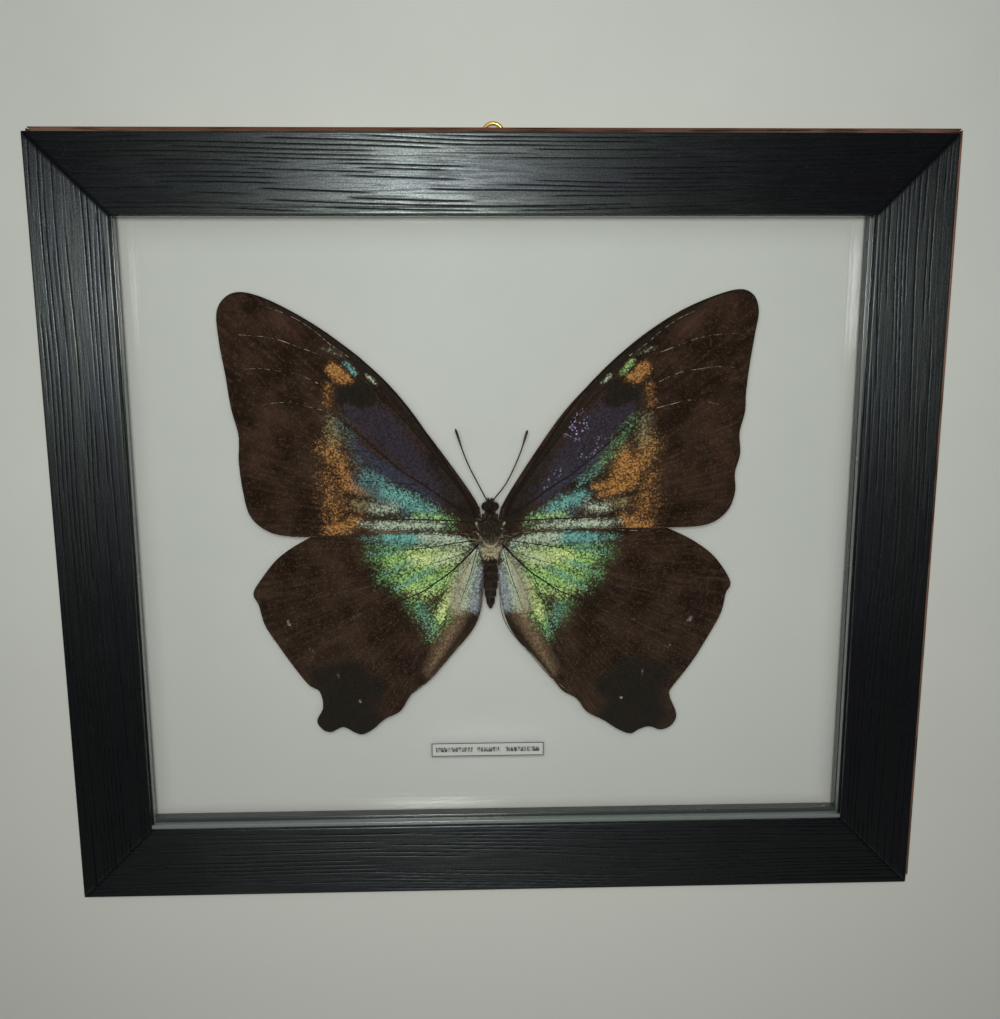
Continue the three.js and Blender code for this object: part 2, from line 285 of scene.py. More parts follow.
def kept(tree, name):
    """A number that the mesh keeps at each vertex."""
    return node(tree, "Attribute", attribute_name=name).outputs["Fac"]


def bump(tree, height, distance, strength=1.0):
    return node(tree, "Bump", {"Height": height, "Distance": distance,
                               "Strength": strength}).outputs[0]


# %% [markdown]
# A material starts from the shader that Blender gives it. Numbers that are the same all over sit
# on the shader itself, and what varies is fed in through a link.

# %% Material and group helpers
def material(name, **numbers):
    """A new material. The numbers are the same all over, so they sit on the shader itself."""
    made = bpy.data.materials.new(name)
    made.use_nodes = True
    shader = made.node_tree.nodes["Principled BSDF"]
    for key, value in numbers.items():
        shader.inputs[key.replace("_", " ")].default_value = value
    return made, made.node_tree, shader


def feed(tree, shader, **sockets):
    """Links outputs to the shader's own sockets."""
    for key, output in sockets.items():
        tree.links.new(output, shader.inputs[key.replace("_", " ")])


def group(name, inputs, outputs):
    """A node group with named sockets. Returns the tree and its input and output nodes."""
    tree = bpy.data.node_groups.new(name, "ShaderNodeTree")
    for socket, kind, value in inputs:
        made = tree.interface.new_socket(socket, in_out="INPUT", socket_type="NodeSocket" + kind)
        if value is not None:
            made.default_value = value
    for socket in outputs:
        tree.interface.new_socket(socket, in_out="OUTPUT", socket_type="NodeSocketFloat")
    return tree, tree.nodes.new("NodeGroupInput"), tree.nodes.new("NodeGroupOutput")


def use(tree, shared, **inputs):
    """Places a shared group in a material and returns its outputs."""
    made = tree.nodes.new("ShaderNodeGroup")
    made.node_tree = shared
    for key, value in inputs.items():
        if isinstance(value, bpy.types.NodeSocket):
            tree.links.new(value, made.inputs[key])
        else:
            made.inputs[key].default_value = value
    return made.outputs


print("shader helpers ready")

# %% [markdown]
# Three effects are shared by several materials, so each is a node group that is built once.
# *Grain* is wood: noise drawn out along X gives pores, and a broader one changes the tone.
# *Scales* is the mosaic that covers a wing: cells a third of a millimetre across, each with two
# chance numbers and a rounded height. *Handling* is the uneven sheen of fingers and dust.

# %% Shared groups: grain, scales and handling
grain, g_in, g_out = group("grain", [("Vector", "Vector", None), ("Pore width", "Float", 0.0005)],
                           ["Pore", "Tone", "Speck"])
fine = calc(grain, "DIVIDE", 1.0, g_in.outputs["Pore width"])
drawn = node(grain, "VectorMath", {0: g_in.outputs["Vector"], 1: (0.035, 1, 1)},
             operation="MULTIPLY").outputs[0]
pores = noise(grain, drawn, fine, detail=2.0)
grain.links.new(spread(grain, pores, 0.5, 0.62), g_out.inputs["Pore"])
grain.links.new(spread(grain, noise(grain, drawn, 160.0), 0.35, 0.65), g_out.inputs["Tone"])
grain.links.new(noise(grain, g_in.outputs["Vector"], 5200.0, 1.0), g_out.inputs["Speck"])

scales, s_in, s_out = group("scales", [("Vector", "Vector", None), ("Size", "Float", 0.0003)],
                            ["Chance", "Second chance", "Height"])
cell = node(scales, "TexVoronoi", {"Vector": s_in.outputs["Vector"],
                                   "Scale": calc(scales, "DIVIDE", 1.0, s_in.outputs["Size"])})
chances = node(scales, "SeparateColor", {0: cell.outputs["Color"]})
scales.links.new(chances.outputs[0], s_out.inputs["Chance"])
scales.links.new(chances.outputs[1], s_out.inputs["Second chance"])
scales.links.new(calc(scales, "SUBTRACT", 1.0, cell.outputs["Distance"]), s_out.inputs["Height"])

handling, h_in, h_out = group("handling", [("Vector", "Vector", None)], ["Smear", "Dust"])
smear = noise(handling, h_in.outputs["Vector"], 38.0, 4.0, 0.6)
handling.links.new(spread(handling, smear, 0.3, 0.7), h_out.inputs["Smear"])
motes = noise(handling, h_in.outputs["Vector"], 900.0, 2.0)
handling.links.new(spread(handling, motes, 0.68, 0.8), h_out.inputs["Dust"])
print("groups:", [g.name for g in bpy.data.node_groups])

# %% [markdown]
# ## Stage and light
# The frame hangs on a painted wall, so the stage is a wall just behind the hanger and a pale
# floor far below. From behind, the wall would hide the object. Its shader therefore lets through
# what meets its back, and shadow rays, so that lights behind it reach the frame's back.

# %% Wall and floor
WALL_BEHIND_FACE = 18.6
wall_finish, tree, shader = material("wall_paint", Roughness=0.75, Specular_IOR_Level=0.2)
place = here(tree)
blotch = spread(tree, noise(tree, place, 14.0, 5.0, 0.6), 0.3, 0.7)
# Painted light: the wall's colour is lighter towards the bottom, a painted gradient that stands in for how
# the light falls on it.
painted_light_low_down = spread(tree, node(tree, "SeparateXYZ", {0: place}).outputs[2], -0.28, -0.12, 1, 0)
paint = mixed(tree, blotch, colour(179, 182, 175), colour(184, 187, 180))
feed(tree, shader, Base_Color=mixed(tree, painted_light_low_down, paint, colour(192, 193, 186)),
     Normal=bump(tree, noise(tree, place, 900.0, 3.0), 0.00005, 0.6))
see_through = calc(tree, "MAXIMUM", node(tree, "NewGeometry").outputs["Backfacing"],
                   node(tree, "LightPath").outputs["Is Shadow Ray"])
screen = node(tree, "MixShader", {0: see_through, 1: shader.outputs[0],
                                  2: node(tree, "BsdfTransparent").outputs[0]})
tree.links.new(screen.outputs[0], tree.nodes["Material Output"].inputs[0])

bpy.ops.mesh.primitive_plane_add(size=2.4, location=on_face(0, WALL_BEHIND_FACE, 100),
                                 rotation=(math.pi / 2, 0, 0))
wall = added("wall")
wall.data.materials.append(wall_finish)

floor_finish, tree, shader = material("floor_paint", Roughness=0.7)
feed(tree, shader, Base_Color=mixed(tree, noise(tree, here(tree), 6.0, 4.0),
                                    colour(196, 196, 192), colour(206, 206, 202)))
bpy.ops.mesh.primitive_plane_add(size=4, location=on_face(0, 0, -500))
floor = added("floor")
floor.data.materials.append(floor_finish)

# %% [markdown]
# Glass hides its own reflections only if nothing bright stands in front of it. So the soft
# lights are kept out of reflections, and a small lamp close to the camera gives the wood its
# streak of light. Light linking gives that lamp to the rails, the strips and the brass ring.

# %% Lights
def lamp(name, place, aim, size, power, tint, seen):
    """An area light in millimetres from the middle of the face, seen in reflections or not."""
    light = bpy.data.objects.new(name, bpy.data.lights.new(name, "AREA"))
    light.data.shape = "DISK"
    light.data.size = size * MM
    light.data.energy = power
    light.data.color = tint
    light.visible_glossy = light.visible_transmission = seen
    light.location = on_face(*place)
    light.rotation_euler = (on_face(*aim) - light.location).to_track_quat("-Z", "Y").to_euler()
    bpy.context.scene.collection.objects.link(light)
    return light


lamp("key", (0, -620, 150), (0, 0, 20), 420, 1.42, (1.0, 1.0, 0.985), False)
lamp("front", (-10, -300, 66), (0, 0, 40), 46, 0.87, (1.0, 1.0, 0.985), False)
lamp("back_fill", (200, 900, 300), (0, 0, -20), 900, 9.0, (1.0, 1.0, 1.0), False)
streak = lamp("streak", (-32, -290, 74), (-8, 0, 40), 26, 1.2, (0.95, 1.0, 0.98), True)
catches_streak = bpy.data.collections.new("catches_streak")
streak.light_linking.receiver_collection = catches_streak
world = bpy.data.worlds.new("room")
world.use_nodes = True
world.node_tree.nodes["Background"].inputs[0].default_value = (0.93, 0.97, 1.0, 1)
world.node_tree.nodes["Background"].inputs[1].default_value = 0.012
bpy.context.scene.world = world
bpy.context.scene.view_settings.view_transform = "Standard"
print("lights ready")

# %% [markdown]
# ## Face rails
# The face is black stained wood with an open, brushed grain: long pores about a millimetre
# apart, cut along each rail, so the light makes streaks across the top and stripes down the
# sides. Bump alone would leave the exported mesh flat, so the pores are real hollows. Each rail
# is a grid wrapped round its section, with the fine columns on the face, closed along its seam
# and filled at its mitred ends.

# %% Section of a face rail
RAIL_WIDTH = 20.4
RAIL_DEPTH = 3.2
LIP_DEPTH = 1.2
REBATE = 3.0
ROUNDING = 0.4
FINE_COLUMNS = 116
corner = np.linspace(0, math.pi / 2, 4)
outer_round = np.stack([ROUNDING * (1 - np.cos(corner)), ROUNDING * (1 - np.sin(corner))], 1)
inner_round = np.stack([RAIL_WIDTH - ROUNDING * (1 - np.sin(corner)),
                        ROUNDING * (1 - np.cos(corner))], 1)
front = np.linspace(ROUNDING, RAIL_WIDTH - ROUNDING, FINE_COLUMNS)[1:-1]
SECTION = np.concatenate([
    [(0, RAIL_DEPTH), (0, LIP_DEPTH)], outer_round, np.stack([front, front * 0], 1), inner_round,
    [(RAIL_WIDTH, LIP_DEPTH), (RAIL_WIDTH - REBATE, LIP_DEPTH),
     (RAIL_WIDTH - REBATE, RAIL_DEPTH), (0, RAIL_DEPTH)]])
print("section points:", len(SECTION))

# %% [markdown]
# The deep pores are thin grooves about a millimetre apart that bend together, and each comes and
# goes along its length. Finer pores lie between. A narrow scratch runs beside the lip, where the
# moulding's cutter left a bead. Each vertex also keeps how deep in a pore it is, so that the
# material can darken the hollows: partly the stain that gathers there, partly painted shade.

# %% Rails with real pores
RAIL_ROWS = 170
PORE_PITCH = 1.15
PORE_DEPTH = 0.12
MITRE_GAP = 0.04
END_CHAMFER = 0.12


def pores(along, inset, seed):
    """How deep in a pore each place is, from 0 to 1."""
    bend = 0.9 * np.sin(along / 47 + seed) + 1.6 * wander(along / 38, inset / 30, seed + 7)
    across = inset + bend
    phase = across / PORE_PITCH + 1.4 * wander(along / 52, across / 6, seed)
    groove = np.rint(phase)
    comes_and_goes = ease((wander(along / 24, groove * 7.3, seed + 9) - 0.36) / 0.16)
    coarse = ease((0.19 - np.abs(phase - groove)) / 0.12) * comes_and_goes
    fine_ones = ease((wander(along / 14, across / 0.42, seed + 5) - 0.66) / 0.2)
    scratch = ease(1 - np.abs(inset - (RAIL_WIDTH - 1.9)) / 0.28)
    flat = ease((inset - 0.5) / 0.6) * ease((RAIL_WIDTH - 0.5 - inset) / 0.6)
    return np.maximum(flat * np.maximum(coarse, 0.22 * fine_ones), 0.7 * scratch)


def face_rail(side, seed):
    level = side in ("top", "bottom")
    sign = 1 if side in ("top", "right") else -1
    steps = np.linspace(-1, 1, RAIL_ROWS - 1)
    hollows = []

    def where(column, row):
        index = np.rint(column * (len(SECTION) - 1)).astype(int)
        inset, depth = SECTION[index].T
        step = np.rint(row * RAIL_ROWS).astype(int)
        share = np.concatenate([[-1], steps, [1]])[step]
        end = (step == 0) | (step == RAIL_ROWS)
        half_along = (HALF_WIDTH if level else HALF_HEIGHT) - inset - MITRE_GAP
        along = share * (half_along - END_CHAMFER * ~end)
        cut = (depth < ROUNDING) & (inset > 0) & (inset < RAIL_WIDTH)
        hollow = cut * pores(along, inset, seed)
        hollows.append(hollow)
        swell = 0.014 * wander(along / 34, inset / 2.3, seed + 3)
        depth = depth + PORE_DEPTH * hollow + cut * (swell + 0.5 * END_CHAMFER * end)
        offset = sign * ((HALF_HEIGHT if level else HALF_WIDTH) - inset)
        return (along, depth, offset) if level else (offset, depth, along)

    piece = wrapped_grid("wood_rail_" + side, len(SECTION) - 1, RAIL_ROWS, where)
    store(piece, "hollow", hollows[0])

    def close():
        bpy.ops.mesh.remove_doubles(threshold=1e-6)
        bpy.ops.mesh.select_all(action="SELECT")
        bpy.ops.mesh.fill_holes(sides=0)
        bpy.ops.mesh.select_all(action="SELECT")
        bpy.ops.mesh.normals_make_consistent(inside=False)

    in_edit(piece, close)
    smooth(piece, 40)
    report(piece)
    return piece


face_rails = {side: face_rail(side, seed) for seed, side in enumerate(SIDES, 11)}

# %% [markdown]
# The stain is nearly black with a breath of blue, and the lacquer on it is satin. Brushed wood
# spreads a highlight across its grain and hardly along it, so the gloss is anisotropic. The
# upright rails use the same material turned by a right angle, as their grain runs upwards.

# %% Black stained wood
def black_wood(name, turn, across):
    made, tree, shader = material(name, Anisotropic=0.64)
    place = here(tree, turn)
    wood = use(tree, grain, Vector=place, **{"Pore width": 0.0004})
    hands = use(tree, handling, Vector=place)
    hollow = kept(tree, "hollow")
    open_pore = calc(tree, "MAXIMUM", hollow, calc(tree, "MULTIPLY", wood["Pore"], 0.25))
    stain_and_pore_shade = mixed(tree, wood["Tone"], colour(6, 5, 8), colour(4, 5, 5))
    # Pores are painted darker: partly the stain that gathers in them, partly painted shade in the hollows.
    stain_and_pore_shade = mixed(tree, open_pore, stain_and_pore_shade, colour(2, 2, 3))
    stain_and_pore_shade = mixed(tree, calc(tree, "MULTIPLY", hands["Dust"], 0.02), stain_and_pore_shade, colour(150, 150, 150))
    sheen = calc(tree, "ADD", spread(tree, open_pore, 0, 1, 0.38, 0.8),
                 spread(tree, wood["Speck"], 0.3, 0.7, 0.07, -0.07))
    sheen = calc(tree, "ADD", sheen, spread(tree, hands["Smear"], 0, 1, -0.03, 0.03))
    relief = calc(tree, "SUBTRACT", wood["Speck"], wood["Pore"])
    gloss = mixed(tree, wood["Tone"], colour(224, 232, 240), colour(238, 247, 241))
    tangent = node(tree, "VectorTransform", {0: across}, vector_type="VECTOR",
                   convert_from="OBJECT", convert_to="WORLD").outputs[0]
    feed(tree, shader, Base_Color=stain_and_pore_shade, Roughness=sheen, Specular_Tint=gloss, Tangent=tangent,
         Specular_IOR_Level=calc(tree, "MULTIPLY", spread(tree, open_pore, 0, 1, 0.56, 0.12),
                                 spread(tree, noise(tree, place, 2300.0, 2.0), 0.3, 0.7, 0.6, 1.4)),
         Normal=bump(tree, relief, 0.000014, 0.9))
    return made


BLACK_LEVEL = black_wood("black_wood_level", (0, 0, 0), (0, 0, 1))
BLACK_UPRIGHT = black_wood("black_wood_upright", (0, 90, 0), (1, 0, 0))
for side, piece in face_rails.items():
    piece.data.materials.append(BLACK_LEVEL if side in ("top", "bottom") else BLACK_UPRIGHT)
    catches_streak.objects.link(piece)
    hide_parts("face_rail_" + side)
    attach(piece, "frame")

# %% [markdown]
# ## Box rails
# Behind the face is a deeper box of brown board, of which only a thin edge shows. Its CAD shape
# is right. A CAD node is loose triangles, so a Weld modifier joins them before a Bevel rounds
# the arrises, and both stay live on the node.

# %% Brown board
def brown_board(name, turn):
    made, tree, shader = material(name, Specular_IOR_Level=0.3)
    place = here(tree, turn)
    wood = use(tree, grain, Vector=place, **{"Pore width": 0.0004})
    hands = use(tree, handling, Vector=place)
    board = mixed(tree, wood["Tone"], colour(84, 58, 45), colour(112, 84, 70))
    board = mixed(tree, wood["Pore"], board, colour(52, 34, 24))
    board = mixed(tree, calc(tree, "MULTIPLY", hands["Dust"], 0.3), board, colour(140, 128, 118))
    relief = calc(tree, "SUBTRACT", calc(tree, "MULTIPLY", wood["Speck"], 0.6), wood["Pore"])
    feed(tree, shader, Base_Color=board, Roughness=spread(tree, hands["Smear"], 0, 1, 0.55, 0.8),
         Normal=bump(tree, relief, 0.00008, 0.8))
    return made


def finish_node(name, finish, rounding, segments=3):
    """Gives a CAD node its material and rounds its edges without changing its mesh."""
    node_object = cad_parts[name]
    node_object.data.materials.clear()
    node_object.data.materials.append(finish)
    weld = node_object.modifiers.new("weld", "WELD")
    weld.merge_threshold = 1e-6
    bevel = node_object.modifiers.new("bevel", "BEVEL")
    bevel.width = rounding * MM
    bevel.segments = segments
    bevel.limit_method = "ANGLE"
    bevel.angle_limit = math.radians(40)
    bevel.harden_normals = True
    return node_object


BOARD_LEVEL = brown_board("brown_board_level", (0, 0, 0))
BOARD_UPRIGHT = brown_board("brown_board_upright", (0, 90, 0))
for side in SIDES:
    finish_node("box_rail_" + side, BOARD_LEVEL if side in ("top", "bottom") else BOARD_UPRIGHT,
                0.35)
print("box rails finished")

# %% [markdown]
# ## Panes and strips
# The panes are plain clear glass. Light that falls through them has to reach the wall, so they
# let shadow rays through, which keeps the render clean. Between the panes run two layers of
# glossy strips, pale in front and darker behind. Their rounded edges catch the light in lines.
# On all but the bottom strips a band along the edges is painted black: painted shade for the
# gaps at the lip and between the layers.

# %% Clear glass
clear_glass, tree, shader = material("clear_glass", Roughness=0.0, IOR=1.45, Specular_IOR_Level=0.25,
                                     Transmission_Weight=1.0)
smudge = use(tree, handling, Vector=here(tree))["Smear"]
feed(tree, shader, Base_Color=mixed(tree, smudge, (0.988, 0.995, 0.999, 1),
                                    (0.99, 0.997, 1.0, 1)))
rays = node(tree, "LightPath")
straight = calc(tree, "MAXIMUM", rays.outputs["Is Shadow Ray"], rays.outputs["Is Diffuse Ray"])
through = node(tree, "MixShader", {
    0: straight, 1: shader.outputs[0],
    2: node(tree, "BsdfTransparent", {0: (0.998, 1.0, 1.0, 1)}).outputs[0]})
tree.links.new(through.outputs[0], tree.nodes["Material Output"].inputs[0])
for name in ("front_glass", "rear_glass"):
    finish_node(name, clear_glass, 0.2, 2)
print("panes finished")

# %% Glossy strips
STRIP_SHADED_EDGE = 0.22 * MM


def strip(name, first, second, side, middle, half_depth):
    made, tree, shader = material(name, Specular_IOR_Level=0.6)
    place = here(tree, (0, 90, 0) if side in ("left", "right") else (0, 0, 0))
    depth = node(tree, "SeparateXYZ", {0: here(tree)}).outputs[1]
    from_middle = calc(tree, "ABSOLUTE", calc(tree, "SUBTRACT", depth, middle))
    # Painted shade: the band along each edge is painted near black on all but the bottom strips, for the
    # shade in the gaps at the lip and between the layers.
    edge = calc(tree, "GREATER_THAN", from_middle, half_depth - STRIP_SHADED_EDGE)
    wood = use(tree, grain, Vector=place, **{"Pore width": 0.0003})
    hands = use(tree, handling, Vector=place)
    grey = mixed(tree, wood["Tone"], colour(*first), colour(*second))
    grey = mixed(tree, edge, grey, colour(*second) if side == "bottom" else colour(9, 13, 12))
    feed(tree, shader, Base_Color=grey,
         Roughness=spread(tree, hands["Smear"], 0, 1, 0.18, 0.3),
         Normal=bump(tree, wood["Pore"], 0.000005, 0.5))
    return made


for layer, first, second in (("pale", (74, 79, 76), (80, 85, 82)),
                             ("dark", (29, 32, 31), (34, 37, 36))):
    low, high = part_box(f"{layer}_spacer_top")
    middle, half_depth = (low.y + high.y) / 2, (high.y - low.y) / 2
    for side in SIDES:
        finish = strip(f"{layer}_strip_{side}", first, second, side, middle, half_depth)
        catches_streak.objects.link(finish_node(f"{layer}_spacer_{side}", finish, 0.25))
print("strips finished")

# %% [markdown]
# ## Label
# A strip of paper on the rear pane carries a thin printed border. The words on it are left out:
# three bars of upright ticks stand where print would be. The paper is a grid whose columns and
# rows lie on the edges of the border and bars, so that whole faces can be given the ink.

# %% Paper label
LABEL_CENTRE = (-3.1, -65.8)
LABEL_SIZE = (33.0, 4.2)
BORDER_INSET, BORDER_LINE = 0.04, 0.26
BARS = ((-15.3, -4.4), (-3.2, 3.7), (5.2, 15.2))
BAR_HALF_HEIGHT = 0.72
LABEL_Y = 10.02
LABEL_THICKNESS = 0.16
half_w, half_h = LABEL_SIZE[0] / 2, LABEL_SIZE[1] / 2
frame_x = (half_w, half_w - BORDER_INSET, half_w - BORDER_INSET - BORDER_LINE)
frame_z = (half_h, half_h - BORDER_INSET, half_h - BORDER_INSET - BORDER_LINE)
lines_x = sorted({-x for x in frame_x} | set(frame_x) | {x for bar in BARS for x in bar}
                 | {float(x) for x in range(-14, 15, 2)})
lines_z = sorted({-z for z in frame_z} | set(frame_z) | {-BAR_HALF_HEIGHT, BAR_HALF_HEIGHT})


def label_place(column, row):
    x = np.array(lines_x)[np.rint(column * (len(lines_x) - 1)).astype(int)]
    z = np.array(lines_z)[np.rint(row * (len(lines_z) - 1)).astype(int)]
    curl = 0.1 * ease((np.abs(x) - 12) / 5) ** 2
    return x + LABEL_CENTRE[0], LABEL_Y - curl, z + LABEL_CENTRE[1]


def label_offset(centre):
    x, _, z = (centre - FACE) / MM
    return x - LABEL_CENTRE[0], abs(z - LABEL_CENTRE[1])


def in_border(centre, normal):
    x, z = label_offset(centre)
    inside = normal.y < -0.5 and abs(x) < frame_x[1] and z < frame_z[1]
    return inside and (abs(x) > frame_x[2] or z > frame_z[2])


def in_bar(centre, normal):
    x, z = label_offset(centre)
    in_row = normal.y < -0.5 and z < BAR_HALF_HEIGHT
    return in_row and any(low < x < high for low, high in BARS)


paper, tree, shader = material("label_paper", Roughness=0.85, Specular_IOR_Level=0.2)
fibre = noise(tree, here(tree), 2600.0, 4.0, 0.7)
feed(tree, shader, Base_Color=mixed(tree, fibre, colour(172, 175, 169), colour(187, 189, 183)),
     Normal=bump(tree, fibre, 0.00003, 0.5))
ink, tree, shader = material("label_ink", Roughness=0.6, Specular_IOR_Level=0.3)
toner = noise(tree, here(tree), 4000.0, 3.0)
feed(tree, shader, Base_Color=mixed(tree, spread(tree, toner, 0.4, 0.7), colour(52, 52, 50),
                                    colour(100, 100, 96)))
grey_bar, tree, shader = material("label_bar", Roughness=0.7, Specular_IOR_Level=0.3)
upright = node(tree, "VectorMath", {0: here(tree), 1: (1, 1, 0.25)}, operation="MULTIPLY").outputs[0]
tick = spread(tree, noise(tree, upright, 2300.0, 1.0), 0.42, 0.58)
feed(tree, shader, Base_Color=mixed(tree, tick, colour(58, 59, 57), colour(166, 169, 163)))

label = wrapped_grid("paper_label", len(lines_x) - 1, len(lines_z) - 1, label_place)
if label.data.polygons[0].normal.y > 0:
    in_edit(label, bpy.ops.mesh.flip_normals)
apply_modifier(label, "SOLIDIFY", thickness=LABEL_THICKNESS * MM, offset=-1)
label.data.materials.append(paper)
for number, (finish, test) in enumerate(((ink, in_border), (grey_bar, in_bar)), 1):
    label.data.materials.append(finish)
    pick_faces(label, test)
    label.active_material_index = number
    bpy.ops.object.material_slot_assign()
    bpy.ops.object.mode_set(mode="OBJECT")
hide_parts("label")
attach(label, "frame")
report(label)

# %% [markdown]
# ## Wings
# Each wing is a thin sheet that spreads from a hub at the body to an outline. A grid is wrapped
# so that its columns run round the outline and its rows run out from the hub: its lines then
# follow the veins, and a streak along a row looks like the real membrane. The outlines are the
# same few points that the CAD wings use, with a smooth curve through them.

# %% Wing outlines
BODY_X = -2.1
FOREWING_LEFT = [
    (-4.7, 3.0), (-6.2, 9.3), (-18.1, 26.4), (-28.6, 39.5), (-37.4, 48.0), (-48.8, 56.8),
    (-58.7, 62.6), (-66.5, 65.6), (-71.6, 65.0), (-74.8, 60.8), (-74.6, 53.0), (-73.4, 44.3),
    (-72.3, 35.1), (-70.7, 28.4), (-70.6, 24.8), (-70.9, 19.9), (-70.2, 12.4), (-68.4, 5.0),
    (-63.4, 0.6), (-56.0, -0.8), (-46.0, -0.4), (-32.0, 0.5), (-18.0, 0.4), (-9.2, -0.9), (-5.6, -1.2)]
FOREWING_RIGHT = [
    (0.5, 3.0), (2.0, 9.3), (15.8, 30.4), (24.5, 40.4), (32.8, 48.6), (42.0, 55.9),
    (52.2, 61.9), (64.0, 66.1), (69.2, 65.0), (71.0, 60.6), (70.2, 54.5), (69.0, 45.8),
    (68.4, 38.5), (68.3, 33.3), (67.0, 27.5), (67.4, 21.6), (66.2, 16.3), (66.4, 10.9),
    (64.4, 5.5), (59.5, 1.9), (51.4, 1.0), (38.0, 1.4), (20.0, 1.0), (5.0, -0.9), (1.4, -1.2)]
HINDWING_LEFT = [
    (-5.6, -4.6), (-8.0, -1.2), (-18.0, 4.6), (-34.0, 5.6), (-45.0, 2.2), (-54.1, -2.1),
    (-61.2, -6.8), (-66.4, -13.0), (-68.8, -17.2), (-67.4, -20.6), (-65.8, -26.6),
    (-61.9, -33.2), (-57.9, -39.2), (-54.3, -44.2), (-51.2, -46.4), (-50.4, -51.0),
    (-52.2, -55.0), (-50.6, -57.8), (-48.2, -58.5), (-44.8, -57.1), (-41.4, -58.8),
    (-39.2, -59.3), (-36.3, -57.8), (-32.6, -54.6), (-28.2, -52.2), (-24.6, -46.8),
    (-18.9, -42.2), (-13.1, -35.4), (-7.2, -28.1), (-4.9, -22.6), (-4.1, -16.0),
    (-4.0, -11.5), (-4.1, -8.0)]
HINDWING_RIGHT = [
    (1.5, -4.6), (4.2, -1.0), (14.0, 4.8), (30.0, 6.0), (42.0, 2.8), (50.6, -0.6),
    (56.6, -3.9), (61.8, -8.2), (66.2, -15.0), (65.0, -18.6), (63.6, -24.6), (58.6, -34.2),
    (54.3, -40.9), (50.6, -46.0), (49.6, -48.6), (51.8, -54.6), (50.4, -57.9), (47.3, -59.2),
    (44.0, -58.2), (41.0, -59.0), (38.5, -60.3), (34.7, -58.8), (30.6, -56.0), (25.6, -53.2),
    (22.6, -49.2), (18.6, -46.8), (15.5, -43.0), (10.6, -36.7), (5.0, -30.3), (2.0, -24.4),
    (0.4, -16.0), (0.0, -12.0), (0.0, -8.0)]


def smooth_line(points, count):
    """Evenly spaced steps on a smooth curve through the points."""
    points = np.asarray(points, float)
    last = len(points) - 1
    at = np.linspace(0, last, count)
    i = np.minimum(at.astype(int), last - 1)
    t = (at - i)[:, None]
    p0, p1 = points[np.maximum(i - 1, 0)], points[i]
    p2, p3 = points[i + 1], points[np.minimum(i + 2, last)]
    v1, v2 = (p2 - p0) / 2, (p3 - p1) / 2
    return ((2 * t**3 - 3 * t**2 + 1) * p1 + (t**3 - 2 * t**2 + t) * v1
            + (3 * t**2 - 2 * t**3) * p2 + (t**3 - t**2) * v2)


print("outlines:", len(FOREWING_LEFT), len(HINDWING_LEFT), "points")

# %% [markdown]
# A pattern is written for a wing on either side, as soft strokes: a softness, a strength and
# then dots of (distance from the body's midline, height, half width). Each kind of scale has its
# own strokes, which become a number from 0 to 1 at every vertex. One more number, the cover, says
# how closely the bright scales lie, whatever their colour.

